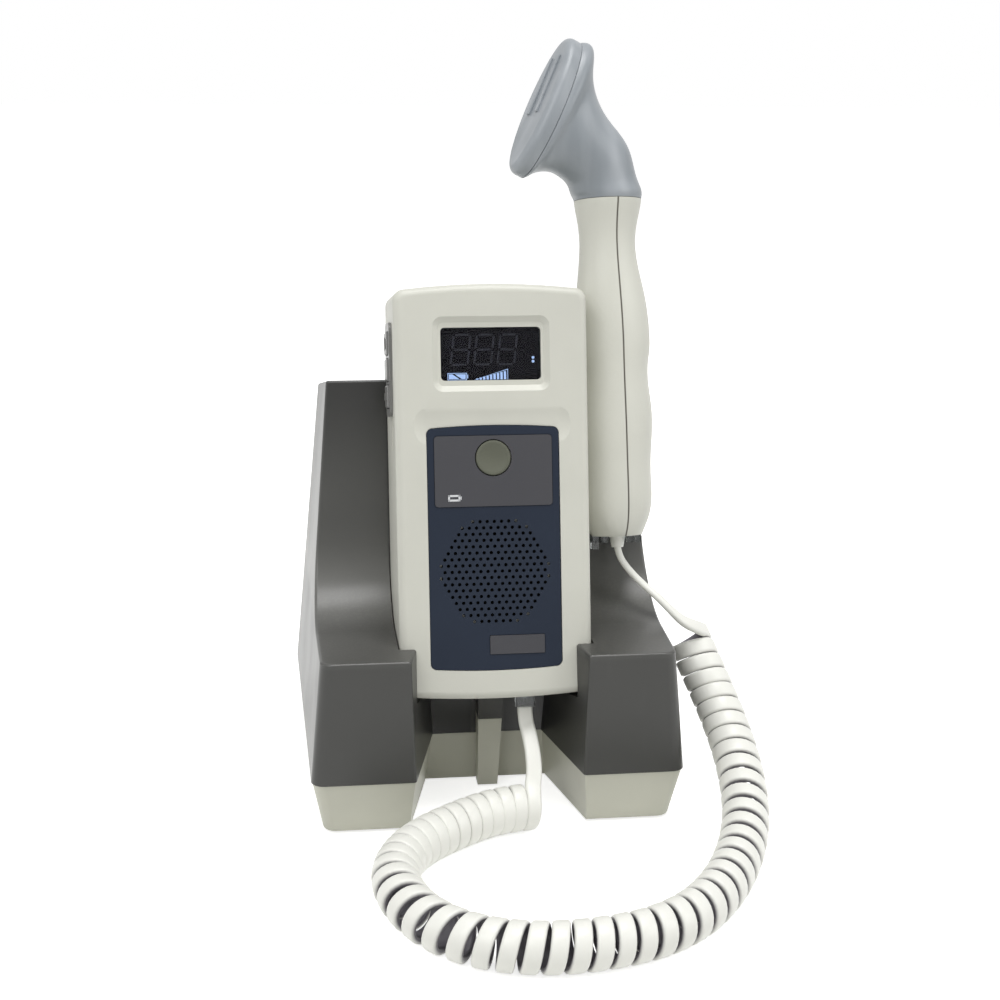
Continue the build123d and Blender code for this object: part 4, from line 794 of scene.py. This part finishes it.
screenMarks = {  # mm across and up from the window's centre
    "depth": 4.22,          # just in front of the display module
    "thick": 0.05,
    "centre": (0.0, 135.2),
    "lit": paint(176, 204, 244),
    "ghost": paint(33, 34, 44),
    "line": 0.22,
    "battery": ((-16.9, -10.1), (-9.3, -7.3)),
    "batteryInset": 0.7,    # of the battery's end cap
    "wedge": ((-6.6, -10.1), (6.9, -5.9)),
    "bars": 9,
    "barShare": 0.66,       # of the step from one bar to the next
    "dots": ((16.9, -1.6), (16.9, -3.1)),
    "dotRadius": 0.55,
    "dotSides": 16,
    "digitHeight": 11.6,
    "digitWidth": 6.6,
    "digitStroke": 0.85,
    "digitGap": 1.4,        # between strokes, in half strokes
    "digitPlaces": (-11.6, -2.4, 6.8),
    "digitMiddle": 1.7,
    "slant": 0.12,
}
labelMark = {  # mm in the unit's frame
    "battery": ((-18.0, 78.0), (-13.2, 80.5)),
    "batteryInset": 0.6,
    "line": 0.75,
    "thick": 0.04,
    "ink": paint(214, 216, 218),
}
unitPlace = {  # the unit's frame starts below the stand's arms, down along its face
    "lean": 15.0,
    "behindFront": 18.5,
    "armHeight": 71.0,
    "belowArm": 20.9,
}
unitLean = radians(unitPlace["lean"])
unitOrigin = Vector((
    0,
    standFront + (unitPlace["behindFront"] - unitPlace["belowArm"] * sin(unitLean)) * mm,
    (unitPlace["armHeight"] - unitPlace["belowArm"] * cos(unitLean)) * mm,
))
unitFrame = Matrix.Translation(unitOrigin) @ Matrix.Rotation(-unitLean, 4, "X")


def addSlab(mesh, corners, depth, thick):  # a thin plate from its outline, x and z in mm
    verts = [mesh.verts.new((x * mm, depth * mm, z * mm)) for x, z in corners]
    face = mesh.faces.new(verts)
    made = bmesh.ops.extrude_face_region(mesh, geom=[face])
    moved = [v for v in made["geom"] if isinstance(v, bmesh.types.BMVert)]
    bmesh.ops.translate(mesh, verts=moved, vec=(0, thick * mm, 0))


def boxOutline(x0, z0, x1, z1):
    return [(x0, z0), (x1, z0), (x1, z1), (x0, z1)]


def batteryOutlines(corners, line, inset):  # four sides and an end cap
    (x0, z0), (x1, z1) = corners
    bars = (
        (x0, z1 - line, x1, z1),
        (x0, z0, x1, z0 + line),
        (x0, z0, x0 + line, z1),
        (x1 - line, z0, x1, z1),
        (x1 + 0.1, z0 + inset, x1 + 0.45, z1 - inset),
    )
    return [boxOutline(*bar) for bar in bars]


def finishMarks(name, mesh, material, body="unit"):
    bmesh.ops.recalc_face_normals(mesh, faces=mesh.faces)
    mesh.transform(unitFrame)
    obj = meshObject(name, mesh, smooth=False)
    obj.data.materials.append(material)
    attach(obj, body)
    return obj


def makeLitMarks():
    s = screenMarks
    cx, cz = s["centre"]
    mesh = bmesh.new()

    def slab(corners):
        addSlab(mesh, [(cx + x, cz + z) for x, z in corners], s["depth"], s["thick"])

    for outline in batteryOutlines(s["battery"], s["line"], s["batteryInset"]):
        slab(outline)
    (x0, z0), (x1, z1) = s["battery"]
    slab([(x0 + 0.5, z0 + 0.45), (x0 + 4.6, z0 + 0.45), (x0 + 1.9, z1 - 0.5), (x0 + 0.5, z1 - 0.5)])
    slab([(x0 + 5.6, z0 + 0.45), (x1 - 0.5, z0 + 0.45), (x1 - 0.5, z1 - 0.5), (x0 + 2.9, z1 - 0.5)])
    (x0, z0), (x1, z1) = s["wedge"]
    slab([(x0, z0), (x0 + 0.2, z0), (x1, z1 - 0.25), (x1, z1)])
    slab(boxOutline(x1 - s["line"], z0, x1, z1))
    step = (x1 - x0 - 1.2) / s["bars"]
    for i in range(s["bars"]):
        left = x0 + 0.9 + i * step
        top = z0 + 0.25 + (z1 - z0 - 0.9) * (left + step * 0.3 - x0) / (x1 - x0)
        slab(boxOutline(left, z0 + 0.1, left + step * s["barShare"], top))
    turns = [2 * pi * k / s["dotSides"] for k in range(s["dotSides"])]
    for x, z in s["dots"]:
        slab([(x + s["dotRadius"] * cos(turn), z + s["dotRadius"] * sin(turn)) for turn in turns])
    return finishMarks("litMarks", mesh, lit("litSegments", s["lit"]))


def makeGhostDigits():
    s = screenMarks
    cx, cz = s["centre"]
    mesh = bmesh.new()
    h, w, t = s["digitHeight"] / 2, s["digitWidth"] / 2, s["digitStroke"] / 2
    gap = t * s["digitGap"]

    def stroke(place, corners):
        slanted = [(cx + place + x + s["slant"] * z, cz + s["digitMiddle"] + z) for x, z in corners]
        addSlab(mesh, slanted, s["depth"], s["thick"])

    for place in s["digitPlaces"]:
        for side in (-w, w):
            for low, high in ((-h + t, -gap), (gap, h - t)):
                stroke(place, boxOutline(side - t, low, side + t, high))
        for z in (-h, 0, h):
            stroke(place, boxOutline(-w + gap, z - t, w - gap, z + t))
    resting = moulded("restingSegments", s["ghost"], 0.3, grain=0.01)
    return finishMarks("ghostDigits", mesh, resting)


def makeLabelMark():  # a small battery outline at the label plate's lower left
    mesh = bmesh.new()
    depth = labelFace() - labelMark["thick"]
    for outline in batteryOutlines(labelMark["battery"], labelMark["line"], labelMark["batteryInset"]):
        addSlab(mesh, outline, depth, labelMark["thick"])
    ink = moulded("whiteInk", labelMark["ink"], 0.45, grain=0.05)
    return finishMarks("labelMark", mesh, ink)


def labelFace():  # front of the label plate in the unit's frame, mm
    back = unitFrame.inverted()
    return min((back @ v.co).y for v in nodes["label_plate"].data.vertices) / mm


makeLitMarks()
makeGhostDigits()
makeLabelMark()
print("display marks made")


# Studio: white floor and surroundings, soft lamps

studio = {
    "floorSize": 3.0,
    "floorColour": paint(236, 236, 234),
    "floorGlow": 0.70,       # keeps the floor white to the eye, but for the shadow beside the object
    "worldStrength": 0.31,
    "lampAim": (0, 0, 0.1),
    "lamps": [
        {"name": "keyLamp", "place": (-0.7, -0.9, 1.3), "size": 0.9, "power": 7.2},
        {"name": "sideLamp", "place": (1.1, -0.6, 0.9), "size": 0.9, "power": 5.0},
        {"name": "topLamp", "place": (0.15, -0.15, 1.6), "size": 0.8, "power": 13.0},
        {"name": "leftLamp", "place": (-1.3, -0.05, 0.45), "size": 0.8, "power": 2.2},
    ],
}


def seenPlainly(tree):  # 1 to the eye, in mirrors and through glass, 0 where it only lights the object
    path = tree.nodes.new("ShaderNodeLightPath")
    seen = mathNode(tree, "MAXIMUM", path.outputs["Is Camera Ray"], path.outputs["Is Glossy Ray"])
    return mathNode(tree, "MAXIMUM", seen, path.outputs["Is Transmission Ray"])


def makeFloor():
    mesh = bmesh.new()
    bmesh.ops.create_grid(mesh, x_segments=2, y_segments=2, size=studio["floorSize"])
    floor = meshObject("floor", mesh, smooth=False)
    material, tree, shader = newMaterial("floorPaper")
    shader.inputs["Base Color"].default_value = studio["floorColour"]
    shader.inputs["Roughness"].default_value = 0.9
    shader.inputs["Specular IOR Level"].default_value = 0.1
    shader.inputs["Emission Color"].default_value = (1, 1, 1, 1)
    glow = mathNode(tree, "MULTIPLY", seenPlainly(tree), studio["floorGlow"])
    tree.links.new(glow, shader.inputs["Emission Strength"])
    floor.data.materials.append(material)


def makeWorld():
    world = bpy.data.worlds.new("studio")
    scene.world = world
    world.use_nodes = True
    tree = world.node_tree
    background = tree.nodes["Background"]
    background.inputs["Color"].default_value = (1, 1, 1, 1)
    strength = rangeNode(tree, seenPlainly(tree), 0, 1, studio["worldStrength"], 1.0)
    tree.links.new(strength, background.inputs["Strength"])


def makeLamps():
    for lamp in studio["lamps"]:
        light = bpy.data.lights.new(lamp["name"], "AREA")
        light.shape = "DISK"
        light.size = lamp["size"]
        light.energy = lamp["power"]
        obj = bpy.data.objects.new(lamp["name"], light)
        scene.collection.objects.link(obj)
        place = Vector(lamp["place"])
        obj.location = place
        aim = Vector(studio["lampAim"]) - place
        obj.rotation_euler = aim.to_track_quat("-Z", "Y").to_euler()


makeFloor()
makeWorld()
makeLamps()
scene.view_settings.view_transform = "Standard"
print("studio lit")
